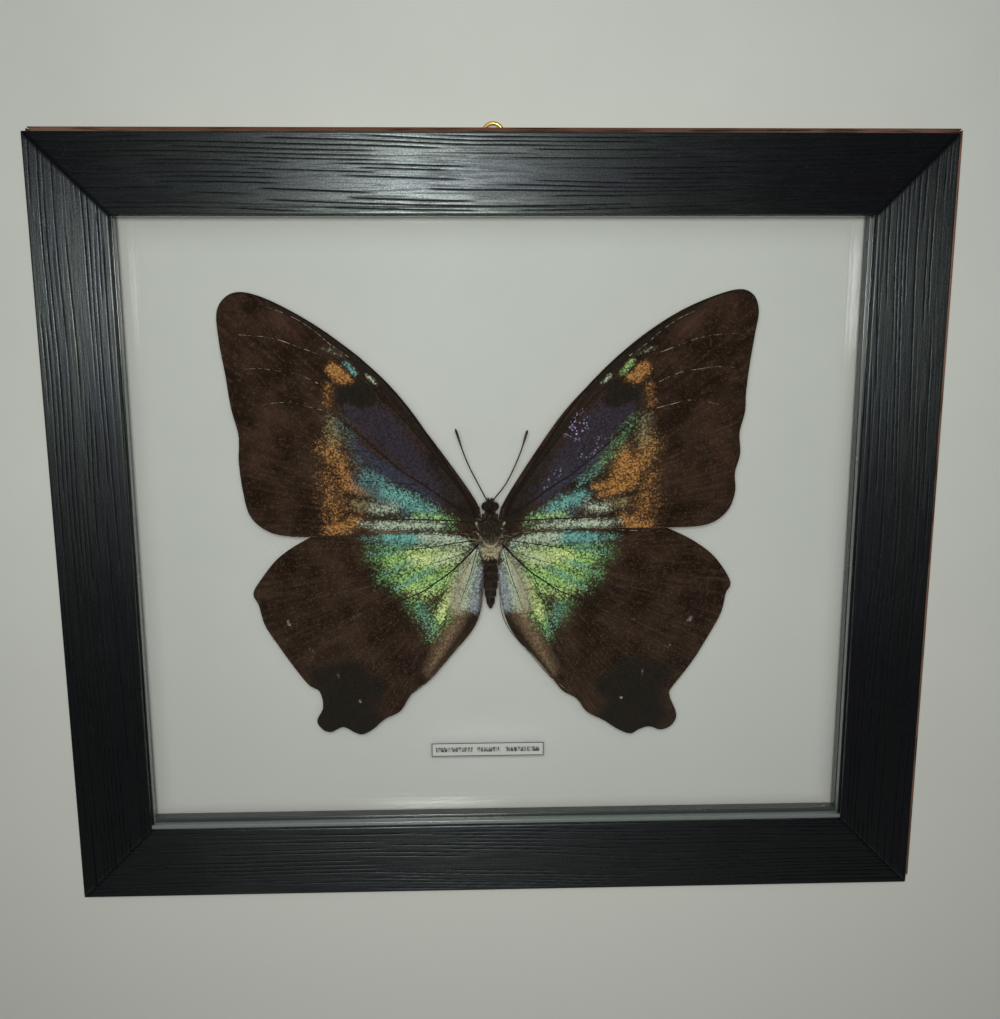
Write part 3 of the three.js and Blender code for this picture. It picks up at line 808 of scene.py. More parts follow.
# %% Pattern of the forewings
FOREWING_PATTERN = {
    "olive": [(3.2, 0.8, (42.6, 31.3, 1.8), (42.4, 27, 2.6), (43, 24, 2.4)),
              (1.8, 0.85, (37, 8, 1.9), (32.5, 7.5, 1.5))],
    "orange": [(1.1, 0.9, (42.2, 45.2, 2.0), (38.8, 42.2, 1.8)),
               (1.7, 0.66, (43.8, 41, 1.2), (44.4, 36, 1.1)),
               (4.6, 0.78, (45.4, 24, 1.6), (42.4, 20.6, 2.6), (40, 17.2, 2.4)),
               (1.5, 1.0, (38, 13.4, 1.5), (34.4, 11.9, 1.5), (30.6, 10.6, 0.8)),
               (3.0, 0.95, (40.6, 18.8, 1.8), (39.2, 13.8, 2.0)),
               (5.4, 0.66, (44.4, 16.1, 2.4), (43.6, 10.1, 3.2), (42.8, 5.1, 3.2)),
               (2.6, 0.9, (37.2, 3.5, 1.6), (40, 2.0, 2.0), (44.4, 1.5, 1.8))],
    "rust": [(4.0, 0.45, (57, 58, 0.8), (52, 55, 0.8)), (4.0, 0.3, (64, 20, 1.5), (60, 34, 1.5))],
    "violet": [(2.8, 0.95, (36, 35, 4.6), (29.8, 30, 5), (23.9, 23.6, 4.4), (17.2, 16.4, 3.4),
                (9, 8.8, 1.2))],
    "blue": [(2.0, 0.85, (36, 25, 1.0), (33.9, 22.0, 1.4), (28.6, 18.2, 1.7), (23.3, 14.8, 1.6),
              (14, 9.0, 1.0))],
    "black": [(1.0, 1.0, (40.4, 37, 1.2), (38.6, 39.0, 2.8), (34.6, 38.0, 3.6)),
              (3.0, 0.7, (3, 4, 3), (8, 5.5, 2.4), (16, 20, 1.6)),
              (0.7, 1.0, (7, 10.5, 0.5), (19, 28, 0.6), (30, 42, 0.6), (42, 52.5, 0.6), (58, 63, 0.5))],
    "dusk": [(2.8, 0.85, (11, 3.6, 1.2), (20, 6.8, 3.4), (28, 11.2, 4.4), (33, 15.5, 4)),
             (2.6, 0.7, (41, 31, 0.6), (38.4, 27.6, 1.2), (37, 24.2, 1.6), (35.4, 20.4, 2.0))],
    "teal": [(2.4, 0.5, (34.4, 16, 0.9), (29.7, 14.4, 1.0)),
             (2.2, 0.95, (28.4, 11.6, 0.9), (22.4, 9.4, 1.5), (16.6, 7.0, 0.9)),
             (0.7, 0.7, (38.8, 46.8, 0.9), (36.3, 44.2, 0.9))],
    "green": [(2.2, 0.75, (20, 5.4, 0.8), (15, 4.4, 1.2), (10, 3.4, 0.8)),
              (2.0, 0.6, (18, 1.7, 0.6), (14, 1.6, 0.8), (9.5, 1.2, 0.5))],
    "pale": [(2.0, 0.8, (31.6, 6.6, 1.2), (27.4, 7.2, 1.3)),
             (1.8, 0.85, (36, 2.8, 0.2), (32, 2.4, 1.1), (27.5, 2.3, 1.5), (20.6, 2.3, 1.2), (13, 2.0, 0.5)),
             (0.6, 0.8, (32.7, 43.4, 0.7), (31, 41.8, 0.6)),
             (0.9, 0.6, (44.8, 50.8, 0.4), (40.6, 49.4, 0.4))],
}
# On the right the orange reaches nearer to the body, and the band above it is greener.
FOREWING_PATTERN_RIGHT = {
    **FOREWING_PATTERN,
    "orange": FOREWING_PATTERN["orange"] + [
        (2.4, 0.9, (37, 22.4, 2.2), (37, 18.4, 2.8), (35.4, 15, 2.2)),
        (1.6, 0.95, (34.4, 13.6, 1.8), (29.4, 12.6, 1.0))],
    "blue": [(2.0, 0.85, (33.6, 26, 0.8), (28.6, 20.6, 1.2), (21.6, 14.8, 1.2), (14, 9.4, 0.9))],
    "dusk": [(2.6, 0.85, (11, 3.6, 1.2), (20, 6.8, 3.2), (25.4, 9.8, 2.4)),
             (1.8, 0.7, (40.4, 32, 0.6), (35.4, 26.4, 1.0), (30.6, 20, 1.2), (25.4, 14.8, 1.4))],
    "leaf": [(2.2, 0.66, (40, 31.2, 0.7), (36.2, 25.8, 1.3), (31.6, 19.6, 1.2), (28.2, 16.2, 0.8))],
    "teal": [(1.8, 0.7, (30, 17.6, 0.7), (25, 13.6, 0.8)),
             (2.0, 0.95, (26.6, 10.8, 0.7), (22.4, 9.4, 1.4), (16.6, 7.0, 0.9))],
    "green": FOREWING_PATTERN["green"] + [(0.7, 0.8, (38.8, 46.8, 0.9), (36.3, 44.2, 0.9))],
}
print("forewing zones:", len(FOREWING_PATTERN), len(FOREWING_PATTERN_RIGHT))

# %% [markdown]
# The hindwings are alike. Green scales spread out from the body between teal and cream ones, the
# inner margin is tan, and the lobe at the back is black with a few pale flecks.

# %% Pattern of the hindwings
HINDWING_PATTERN = {
    "tan": [(2.6, 0.95, (8.8, -23.6, 1.6), (13.2, -32, 1.7), (17.4, -40.4, 1.0))],
    "black": [(2.2, 1.0, (48, -42.0, 3.6), (41, -43.4, 6.4), (33, -45.8, 3.2)),
              (2.2, 1.0, (42, -50, 8), (45, -54, 6), (38, -55, 6)),
              (0.8, 0.8, (4.9, -25, 0.5), (7.9, -29, 0.6), (12.1, -35, 0.6), (16.8, -41, 0.4)),
              (1.6, 1.0, (2.4, -2.4, 1.4), (5.4, -1.4, 1.0), (8.4, -0.4, 0.4))],
    "teal": [(2.2, 0.8, (36.2, -1.4, 0.2), (30, -1.6, 1.2)),
             (1.3, 1.0, (29, -1.7, 1.5), (23.6, -1.7, 1.8), (19, -1.7, 1.4)),
             (1.0, 0.7, (30, -11.6, 0.3), (22.6, -8.6, 0.5), (16, -6, 0.3)),
             (1.0, 0.7, (27, -16.2, 0.5), (18.5, -11.4, 0.4), (12, -7.6, 0.2)),
             (1.0, 0.6, (34, -6.0, 0.5), (24, -4.8, 0.4)),
             (2.4, 0.6, (19.4, -22, 1.2), (16.8, -28.6, 1.4))],
    "leaf": [(4.4, 0.85, (8, -5.5, 2.4), (16, -6.6, 4.6), (27, -6.0, 4.8), (32, -6.2, 2.6)),
             (4.4, 0.85, (10, -12, 4), (18, -13, 5.0), (25.6, -13.2, 3.8), (29.4, -12.4, 2.4)),
             (4.0, 0.8, (21, -20.4, 3.0), (18.4, -25.4, 2.0)),
             (4.0, 0.8, (10, -19, 2.6), (15, -24.6, 2.6), (17, -30.0, 1.0))],
    "green": [(2.6, 0.9, (12, -7.4, 2.6), (20, -9.0, 3.6), (26.4, -8.4, 3.0)),
              (2.8, 0.9, (12, -13, 3), (19, -15, 3.6), (23.6, -15, 2.4)),
              (2.4, 0.85, (11, -18, 1.8), (14.6, -24.4, 2.2), (16.6, -29, 1.0))],
    "yellow": [(2.6, 0.8, (9, -6.0, 1.2), (13, -7.4, 1.8), (21.1, -6.8, 1.2)),
               (2.4, 0.5, (15, -17.6, 0.9), (22.5, -17.2, 0.7)),
               (1.6, 0.8, (10.4, -14.8, 1.0), (14, -23.8, 1.0))],
    "pale": [(2.2, 0.9, (18, -1.5, 1.5), (11.7, -1.9, 1.7), (6.4, -2.8, 1.3)),
             (2.6, 0.6, (5, -4.6, 0.8), (10, -6.6, 1.6), (15, -8.0, 0.8)),
             (1.8, 0.9, (4, -5.6, 1.2), (6.2, -12.5, 2.4), (7.6, -20.4, 2.4))],
    "cream": [(2.0, 0.8, (5.8, -7.6, 0.8), (8.8, -14.1, 1.8), (9.8, -21.4, 1.9))],
    "mist": [(1.6, 0.85, (2.6, -10.5, 0.8), (3.8, -16, 1.2), (4.6, -21.6, 1.4))],
    "fleck": [(0.5, 1.0, (57.2, -25.6, 0.4), (56.6, -26.4, 0.4)),
              (0.4, 0.8, (49.8, -34.4, 0.15), (51.8, -33.4, 0.15)),
              (0.4, 0.9, (43.9, -40.9, 0.25), (43.5, -42.2, 0.25)), (0.4, 1.0, (37.6, -49.2, 0.45)),
              (0.3, 0.8, (41, -25.6, 0.1), (38.4, -24, 0.1)), (0.3, 0.8, (66.2, -19.4, 0.2))],
}
print("hindwing zones:", len(HINDWING_PATTERN))

# %% Zones and strokes
# Painted glints: spots where single scales on the right forewing are painted as bright violet sparkles of
# light.
PAINTED_GLINTS = [(1.6, 0.9, (27, 31, 0.6), (23.6, 27.6, 1.4)), (1.8, 0.9, (30.4, 25.4, 0.5), (26, 21.6, 0.8)),
          (1.6, 0.8, (19, 17, 0.5), (15, 12.6, 0.4)), (1.2, 0.8, (25.5, 35, 0.2), (21, 27.5, 0.2))]
DARK_ZONES = ("tan", "rust", "black")
BRIGHT_ZONES = ("olive", "orange", "violet", "dusk", "blue", "leaf", "green", "teal", "yellow",
                "pale", "cream", "mist", "fleck")
SOFTER = 1.6


def painted(out, up_, strokes, softer=1.0):
    """How strongly each point lies in any of the strokes."""
    strength = np.zeros_like(out)
    for soft, peak, *dots in strokes:
        for (u0, z0, w0), (u1, z1, w1) in zip(dots, dots[1:] or dots):
            du, dz = u1 - u0, z1 - z0
            t = np.clip(((out - u0) * du + (up_ - z0) * dz) / max(du * du + dz * dz, 1e-9), 0, 1)
            gap = np.hypot(out - u0 - t * du, up_ - z0 - t * dz) - (w0 + t * (w1 - w0))
            strength = np.maximum(strength, peak * ease(0.5 - gap / (2 * soft * softer)))
    return strength


print("zones:", DARK_ZONES + BRIGHT_ZONES)

# %% [markdown]
# The underside of such a butterfly is not the blue side in reverse: it is brown with pale bands
# and a row of ringed spots. A ringed spot needs a crisp edge, so each vertex keeps its distance
# to the nearest spot, and the material turns that distance into rings.

# %% Building a wing
FOREWING_SPOTS = [(47, 43, 3.2), (55, 33, 2.6), (54, 20, 3.4)]
HINDWING_SPOTS = [(30, -3, 3.6), (47, -17, 2.4), (44, -28, 3.4), (36, -37, 3.4)]
WING_COLUMNS, WING_ROWS = 240, 84
MEMBRANE = 0.14
WING_LEAN = math.tan(math.radians(0.9))


def wing_depth(depth, out, up_):
    """Depth of the wing's middle, with the shallow folds that follow the veins."""
    angle = np.arctan2(up_, out)
    fold = np.cos(angle * 26) * ease(out / 25)
    return depth + out * WING_LEAN + 0.11 * fold + 0.08 * np.sin(out / 9 + up_ / 13)


def wing(name, outline, hub, depth, pattern, spots):
    side = -1 if "left" in name else 1
    edge = smooth_line(outline, WING_COLUMNS + 1)
    shares = []

    def where(column, row):
        rim = edge[np.rint(column * WING_COLUMNS).astype(int)]
        share = (np.rint(row * WING_ROWS) / WING_ROWS) ** 0.9
        shares.append(share)
        x, z = (np.array(hub) + (rim - hub) * share[:, None]).T
        return x, wing_depth(depth, side * (x - BODY_X), z), z

    piece = wrapped_grid(name, WING_COLUMNS, WING_ROWS, where)
    store(piece, "share", shares[0])
    in_edit(piece, lambda: bpy.ops.mesh.remove_doubles(threshold=2e-6))
    if sum(face.normal.y * face.area for face in piece.data.polygons) > 0:
        in_edit(piece, bpy.ops.mesh.flip_normals)
    x, _, z = face_mm(piece).T
    out = side * (x - BODY_X)
    for zone in DARK_ZONES + BRIGHT_ZONES:
        softer = 1.0 if zone in DARK_ZONES else SOFTER
        store(piece, zone, painted(out, z, pattern.get(zone, []), softer))
    # The right forewing keeps where its painted glints lie.
    if name.startswith("forewing_right"):
        store(piece, "painted_glint", painted(out, z, PAINTED_GLINTS))
    bright = [painted(out, z, pattern[zone]) for zone in BRIGHT_ZONES if zone in pattern]
    flecks = painted(out, z, pattern.get("fleck", []))
    unlit = painted(out, z, pattern["black"]) * (1 - flecks)
    store(piece, "cover", np.max(bright, axis=0) * (1 - unlit))
    rings = [np.hypot(out - u, z - v) / radius for u, v, radius in spots]
    store(piece, "ringed", np.min(rings, axis=0))
    ray = np.stack([np.degrees(np.arctan2(z - hub[1], side * (x - hub[0]))) / 180,
                    np.hypot(x - hub[0], z - hub[1]) / 100], 1)
    corners = np.zeros(len(piece.data.loops), int)
    piece.data.loops.foreach_get("vertex_index", corners)
    layer = piece.data.uv_layers.active or piece.data.uv_layers.new()
    layer.name = "rays"
    layer.data.foreach_set("uv", ray[corners].ravel())
    return piece, side, depth


# %% [markdown]
# Veins are fine tubes laid in the membrane. They are drawn as curves, which is the quickest way
# to give a line a changing thickness, and then turned into a mesh and joined to their wing.
# Dark veins show in the coloured part, and pale worn ones towards the tip of the forewing.

# %% Lines of the veins
DARK, PALE, HORN = 0.0, 1.0, 0.5
FOREWING_VEINS = [
    (DARK, 0.42, 0.3, [(4, 4), (7, 11), (14.5, 23), (21, 33), (28, 41.5), (36, 49)]),
    (DARK, 0.3, 0.16, [(36, 49), (46, 56.4), (56.4, 62.4), (64, 65.3), (69, 65)]),
    (DARK, 0.22, 0.13, [(3.2, 5.2), (10.5, 15.3), (17.3, 24.3), (23.5, 31.7), (29.6, 38.5), (34.8, 42.4)]),
    (DARK, 0.24, 0.1, [(4.2, 4.6), (9.6, 7.3), (17.9, 13.4), (23.8, 17.2), (30.5, 22.9),
                       (36.2, 28.3), (41, 31.8), (44.3, 33.7)]),
    (DARK, 0.1, 0.07, [(30.5, 22.7), (38.3, 23.4), (45.8, 24.5), (53, 25)]),
    (DARK, 0.1, 0.07, [(19.9, 13.6), (29.7, 14.5), (39.1, 14.5), (50, 13.6)]),
    (DARK, 0.24, 0.14, [(4.2, 2.7), (10.2, 3.5), (21.6, 3.9), (30, 4.2)]),
    (PALE, 0.1, 0.08, [(38, 48.6), (42.7, 51.9), (46, 54.8), (50.6, 58.1), (54.8, 60.2), (59.4, 61.9)]),
    (PALE, 0.11, 0.08, [(46.2, 49.4), (50.4, 51), (53.2, 52), (56.5, 53.2), (61.2, 54.1), (67.4, 54.6)]),
    (PALE, 0.11, 0.08, [(46.4, 41.5), (50.2, 43.4), (53.5, 44.4), (58.3, 45.1), (61.6, 45.6), (66.9, 45.4)]),
    (PALE, 0.1, 0.07, [(45, 34.2), (51, 35.7), (53.8, 36.5), (59.1, 36.2), (63, 35.3)]),
    (PALE, 0.09, 0.07, [(9, -0.2), (17, 0.75), (30, 0.8), (42, 0.1), (48, 0)]),
]
HINDWING_VEINS = [
    (DARK, 0.14, 0.08, [(3.4, -3.6), (5.6, -11.8), (7.6, -17.6), (8.8, -21.4)]),
    (DARK, 0.2, 0.07, [(3.6, -2.6), (6, -2.5), (11.7, -3.3), (20, -4.6), (28.3, -4.8), (37.1, -4.6)]),
    (DARK, 0.11, 0.06, [(20, -4.6), (23.2, -6.7), (24.5, -9.6), (28.5, -12.3), (34, -15.5)]),
    (DARK, 0.08, 0.05, [(24.2, -7.2), (27.9, -8.8), (34.4, -10.1), (42, -11)]),
    (DARK, 0.3, 0.12, [(3.2, -3.2), (6.5, -6.8), (11.3, -11.4), (16.1, -14.8), (19.7, -17.2),
                       (26.6, -20.1), (31, -22.6)]),
    (DARK, 0.11, 0.06, [(11.9, -12), (14.6, -18.9), (16.7, -24.3), (19.6, -31)]),
    (DARK, 0.1, 0.06, [(16.1, -15.1), (20.8, -19.3), (25.1, -24.2)]),
    (HORN, 0.1, 0.06, [(3.2, -5.7), (5.1, -12.5), (8, -20)]),
    (HORN, 0.1, 0.05, [(4.2, -5.7), (8.4, -13), (11, -20.6), (16, -33)]),
    (HORN, 0.12, 0.1, [(2.6, -15.6), (3.0, -22.3), (5.2, -28), (11.4, -35.6), (17, -42.4), (22.6, -47)]),
    (DARK, 0.13, 0.06, [(3.4, -4.0), (10, -6.9), (19, -9.6), (27, -11.6)]),
    (DARK, 0.1, 0.05, [(16.1, -14.8), (22, -16.6), (29, -17.4)]),
    (DARK, 0.1, 0.05, [(9.6, -9.8), (13.4, -17), (17.6, -27), (20.4, -35)]),
    (HORN, 0.07, 0.05, [(31, -22.6), (44, -26.4), (54, -29.6), (62, -30.6)]),
    (HORN, 0.07, 0.05, [(34, -15.5), (48, -17.4), (60, -16.8), (66, -16.6)]),
    (HORN, 0.07, 0.05, [(42, -11), (54, -9.4), (60, -8.4)]),
    (HORN, 0.07, 0.05, [(37.1, -4.6), (46, -2.2), (50, -1)]),
    (HORN, 0.07, 0.05, [(25.1, -24.2), (34, -32.8), (43, -40.6), (48.6, -45.2)]),
    (HORN, 0.07, 0.05, [(19.6, -31), (25, -40.4), (33, -50), (38, -55)]),
]
print("veins:", len(FOREWING_VEINS) + len(HINDWING_VEINS))

# %% Tubes and veins
def tubes(name, lines):
    """One mesh of round tubes. A line is its points in millimetres and its radius at each."""
    curve = bpy.data.curves.new(name, "CURVE")
    curve.dimensions = "3D"
    curve.bevel_depth = MM
    curve.bevel_resolution = 1
    curve.use_fill_caps = True
    for points, radii in lines:
        spline = curve.splines.new("POLY")
        spline.points.add(len(points) - 1)
        spline.points.foreach_set("co", np.c_[to_metres(points), np.ones(len(points))].ravel())
        spline.points.foreach_set("radius", np.asarray(radii, np.float32))
    piece = bpy.data.objects.new(name, curve)
    bpy.context.scene.collection.objects.link(piece)
    only(piece)
    bpy.ops.object.convert(target="MESH")
    return bpy.context.object


def vein_mesh(name, veins, side, depth):
    made = []
    for number, (shade, start, end, points) in enumerate(veins):
        out, up_ = smooth_line(points, 10 * len(points)).T
        path = np.stack([BODY_X + side * out, wing_depth(depth, out, up_) - 0.02, up_], 1)
        piece = tubes(f"{name}_{number}", [(path, np.linspace(start, end, len(path)))])
        store(piece, "shade", np.full(len(piece.data.vertices), shade))
        made.append(piece)
    return join(made, name)


print("vein helpers ready")

# %% [markdown]
# A wing's colour is a mosaic of scales. The zones are laid one over another in a loop, with soft
# borders that run ragged along the rays from the wing's root. Where the cover thins out, fewer
# and fewer scales keep the bright colour, so the cover is compared with each scale's chance
# number. The bright colours come from fine ridges, so they turn bluer when seen edge on.

# %% Wing finishes
ZONE_COLOURS = {
    "tan": ((74, 60, 44), (128, 108, 82)), "olive": ((70, 62, 42), (122, 114, 82)),
    "orange": ((84, 56, 32), (166, 119, 64)), "violet": ((32, 28, 31), (51, 46, 53)),
    "blue": ((37, 37, 47), (54, 58, 76)), "black": ((25, 22, 17), (33, 29, 24)),
    "dusk": ((38, 50, 58), (78, 106, 104)), "leaf": ((34, 60, 40), (108, 152, 92)),
    "teal": ((44, 84, 82), (108, 160, 146)), "green": ((54, 88, 46), (158, 194, 116)),
    "yellow": ((132, 148, 80), (208, 218, 148)), "pale": ((124, 142, 124), (172, 184, 158)),
    "cream": ((130, 128, 102), (158, 154, 126)), "mist": ((112, 119, 122), (142, 149, 152)),
    "fleck": ((130, 110, 102), (176, 156, 146)), "rust": ((58, 38, 30), (92, 62, 52)),
}


print("scale colours:", len(ZONE_COLOURS))

# %% Upper side
def wing_upper(name, ground, ground_light):
    made, tree, shader = material(name, Specular_IOR_Level=0.2)
    place = here(tree)
    mosaic = use(tree, scales, Vector=place, Size=0.0004)
    rays = node(tree, "Mapping", {"Vector": node(tree, "UVMap", uv_map="rays").outputs[0],
                                  "Scale": (190, 7, 1)}).outputs[0]
    streaks = noise(tree, rays, 1.0, 3.0, 0.6)
    clouds = noise(tree, place, 130.0, 4.0, 0.6)
    tone = calc(tree, "ADD", calc(tree, "MULTIPLY", clouds, 0.7), calc(tree, "MULTIPLY", streaks, 0.3))
    paint = mixed(tree, spread(tree, tone, 0.4, 0.62), colour(*ground), colour(*ground_light))
    worn = calc(tree, "MULTIPLY", spread(tree, streaks, 0.54, 0.8), 0.22)
    paint = mixed(tree, worn, paint, colour(74, 58, 46))
    grit = calc(tree, "MULTIPLY", spread(tree, mosaic["Chance"], 0.8, 1.0), 0.2)
    base = mixed(tree, grit, paint, colour(104, 86, 72))
    for zone in DARK_ZONES:
        low, high = ZONE_COLOURS[zone]
        amount = kept(tree, zone)
        hue = mixed(tree, mosaic["Second chance"], colour(*low), colour(*high))
        base = mixed(tree, amount, base, hue)
    uneven = calc(tree, "MULTIPLY_ADD", spread(tree, streaks, 0.3, 0.7), 0.36, -0.18)
    gap = calc(tree, "SUBTRACT", mosaic["Second chance"], 0.5)
    paint = base
    for zone in BRIGHT_ZONES:
        low, high = ZONE_COLOURS[zone]
        amount = kept(tree, zone)
        ragged = calc(tree, "MULTIPLY_ADD", calc(tree, "ADD", uneven, gap), 0.9, 1.0)
        mask = spread(tree, calc(tree, "MULTIPLY", amount, ragged), 0.12, 0.72)
        hue = mixed(tree, mosaic["Second chance"], colour(*low), colour(*high))
        paint = mixed(tree, mask, paint, hue)
    cover = kept(tree, "cover")
    cover = calc(tree, "MULTIPLY", cover, calc(tree, "ADD", 1.12, uneven))
    sparse = calc(tree, "SUBTRACT", cover, mosaic["Chance"])
    speckled = calc(tree, "MULTIPLY_ADD", sparse, 4.0, 0.5, clamp=True)
    lit = calc(tree, "MULTIPLY_ADD", cover, 0.25, calc(tree, "MULTIPLY", speckled, 0.75), clamp=True)
    smooth_parts = calc(tree, "MAXIMUM", *(
        kept(tree, zone) for zone in ("cream", "mist")))
    lit = calc(tree, "MAXIMUM", lit, smooth_parts, clamp=True)
    paint = mixed(tree, lit, base, paint)
    # Painted glints: a few scales in these spots are painted bright violet, as sparkles of reflected light.
    painted_glint = kept(tree, "painted_glint")
    painted_glint = calc(tree, "MULTIPLY", painted_glint, calc(tree, "GREATER_THAN", mosaic["Chance"], 0.9))
    paint = mixed(tree, painted_glint, paint, colour(166, 154, 198))
    edge_on = node(tree, "LayerWeight", {"Blend": 0.3}).outputs["Facing"]
    shift = calc(tree, "MULTIPLY", calc(tree, "MULTIPLY", edge_on, lit), 0.4)
    paint = mixed(tree, shift, paint, colour(64, 74, 132))
    relief = calc(tree, "ADD", mosaic["Height"], calc(tree, "MULTIPLY", streaks, 1.5))
    feed(tree, shader, Base_Color=paint, Roughness=spread(tree, mosaic["Chance"], 0, 1, 0.5, 0.72),
         Normal=bump(tree, relief, 0.00004, 0.7))
    return made


# %% [markdown]
# The underside has no bright scales. Its bands follow the wing's edge, so they are laid by each
# vertex's share of the way from the hub to the edge.

# %% Underside
def wing_under(name):
    made, tree, shader = material(name, Specular_IOR_Level=0.2)
    place = here(tree)
    mosaic = use(tree, scales, Vector=place, Size=0.00035)
    rays = node(tree, "UVMap", uv_map="rays").outputs[0]
    drift = noise(tree, node(tree, "Mapping", {"Vector": rays, "Scale": (30, 2, 1)}).outputs[0], 1.0)
    share = kept(tree, "share")
    reach = calc(tree, "ADD", share, calc(tree, "MULTIPLY_ADD", drift, 0.14, -0.07))
    paint = mixed(tree, mosaic["Chance"], colour(74, 54, 38), colour(104, 80, 58))
    for middle, half, shade in ((0.99, 0.03, (142, 124, 97)), (0.94, 0.018, (50, 38, 29)),
                                (0.6, 0.03, (148, 130, 104)), (0.562, 0.014, (48, 36, 28)),
                                (0.36, 0.02, (138, 120, 94))):
        off = calc(tree, "ABSOLUTE", calc(tree, "SUBTRACT", reach, middle))
        stripe = calc(tree, "MULTIPLY", spread(tree, off, half, half * 0.4), 0.8)
        paint = mixed(tree, stripe, paint, colour(*shade))
    ringed = kept(tree, "ringed")
    for edge, shade in ((1.0, (52, 36, 26)), (0.86, (186, 150, 92)), (0.66, (38, 26, 22)),
                         (0.24, (196, 196, 190))):
        inside = spread(tree, ringed, edge, edge - 0.05)
        paint = mixed(tree, inside, paint, colour(*shade))
    feed(tree, shader, Base_Color=paint, Roughness=spread(tree, mosaic["Chance"], 0, 1, 0.6, 0.8),
         Normal=bump(tree, mosaic["Height"], 0.00004, 0.6))
    return made


vein_finish, tree, shader = material("vein", Roughness=0.5, Specular_IOR_Level=0.3)
place = here(tree)
shade = kept(tree, "shade")
broken = spread(tree, noise(tree, place, 620.0, 3.0, 0.7), 0.46, 0.7)
worn = calc(tree, "MULTIPLY", shade, broken)
feed(tree, shader, Base_Color=mixed(tree, worn, colour(26, 21, 17), colour(176, 160, 140)),
     Normal=bump(tree, broken, 0.00003, 0.5))

UPPER_FORE = wing_upper("forewing_scales", (27, 18, 11), (48, 35, 26))
UPPER_HIND = wing_upper("hindwing_scales", (28, 18, 11), (50, 37, 27))
UNDERSIDE = wing_under("underside_scales")
print("wing finishes ready")

# %% [markdown]
# Now the four wings are made: the sheet, its thickness from a Solidify modifier that gives the
# far side the underside finish, and then the veins. The hind wings lie behind the fore wings.

# %% The four wings
FOREWING_HUB, FOREWING_Y = (2.4, 1.0), 5.75
HINDWING_HUB, HINDWING_Y = (2.6, -5.5), 6.45
for name, outline, hub, depth, pattern, spots, veins, upper in (
        ("forewing_left", FOREWING_LEFT, FOREWING_HUB, FOREWING_Y, FOREWING_PATTERN,
         FOREWING_SPOTS, FOREWING_VEINS, UPPER_FORE),
        ("forewing_right", FOREWING_RIGHT, FOREWING_HUB, FOREWING_Y, FOREWING_PATTERN_RIGHT,
         FOREWING_SPOTS, FOREWING_VEINS, UPPER_FORE),
        ("hindwing_left", HINDWING_LEFT, HINDWING_HUB, HINDWING_Y, HINDWING_PATTERN,
         HINDWING_SPOTS, HINDWING_VEINS, UPPER_HIND),
        ("hindwing_right", HINDWING_RIGHT, HINDWING_HUB, HINDWING_Y, HINDWING_PATTERN,
         HINDWING_SPOTS, HINDWING_VEINS, UPPER_HIND)):
    hub_out, base = hub
    hub_x = BODY_X + (-hub_out if "left" in name else hub_out)
    sheet, side, depth = wing(name + "_membrane", outline, (hub_x, base), depth, pattern, spots)
    sheet.data.materials.append(upper)
    sheet.data.materials.append(UNDERSIDE)
    sheet.data.materials.append(vein_finish)
    apply_modifier(sheet, "SOLIDIFY", thickness=MEMBRANE * MM, offset=0, material_offset=1,
                   material_offset_rim=0)
    veins_mesh = vein_mesh(name + "_veins", veins, side, depth)
    veins_mesh.data.materials.append(vein_finish)
    piece = join([sheet, veins_mesh], name + "_scaled")
    smooth(piece, 50)
    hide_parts(name)
    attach(piece, "frame")
    report(piece)

# %% [markdown]
# ## Body
# Head, thorax and abdomen grew as one, so they are modelled as balls and a ringed cone that
# overlap, joined, and then fused by a voxel Remesh and smoothed. The eyes are added afterwards,
# because they are smooth and glossy while the rest is fur.

# %% Fused body
ABDOMEN_TOP, ABDOMEN_TIP = -4.6, -22.3
SEGMENT = 2.35
BODY_CENTRE = BODY_X


def ball(name, x, y, z, width, depth, height):
    bpy.ops.mesh.primitive_uv_sphere_add(segments=40, ring_count=24, location=on_face(x, y, z),
                                         scale=(width * MM, depth * MM, height * MM))
    return added(name)


def abdomen_place(column, row):
    turn = column * 2 * math.pi
    z = ABDOMEN_TOP + (ABDOMEN_TIP - ABDOMEN_TOP) * row
    below = ABDOMEN_TOP - z
    girth = np.interp(below, [0, 1.0, 3, 4.5, 6.4, 9, 11.4, 14.5, 16.5, 17.3, 17.7],
                      [0.4, 1.7, 2.0, 1.8, 2.3, 2.15, 1.85, 1.35, 0.9, 0.45, 0.0])
    through = (below % SEGMENT) / SEGMENT
    girth = girth * (0.9 + 0.16 * ease(through / 0.75) - 0.1 * ease((through - 0.86) / 0.14))
    return (BODY_CENTRE + girth * np.sin(turn), 7.1 - 0.95 * girth * np.cos(turn), z)


def leg(points, radius):
    path = smooth_line(points, 24)
    return path, np.interp(np.arange(24), [0, 8, 16, 23], [1.3, 1.0, 0.85, 0.5]) * radius


abdomen = wrapped_grid("abdomen", 48, 120, abdomen_place)


def close_shell():
    bpy.ops.mesh.remove_doubles(threshold=2e-6)
    bpy.ops.mesh.select_all(action="SELECT")
    bpy.ops.mesh.fill_holes(sides=0)
    bpy.ops.mesh.select_all(action="SELECT")
    bpy.ops.mesh.normals_make_consistent(inside=False)


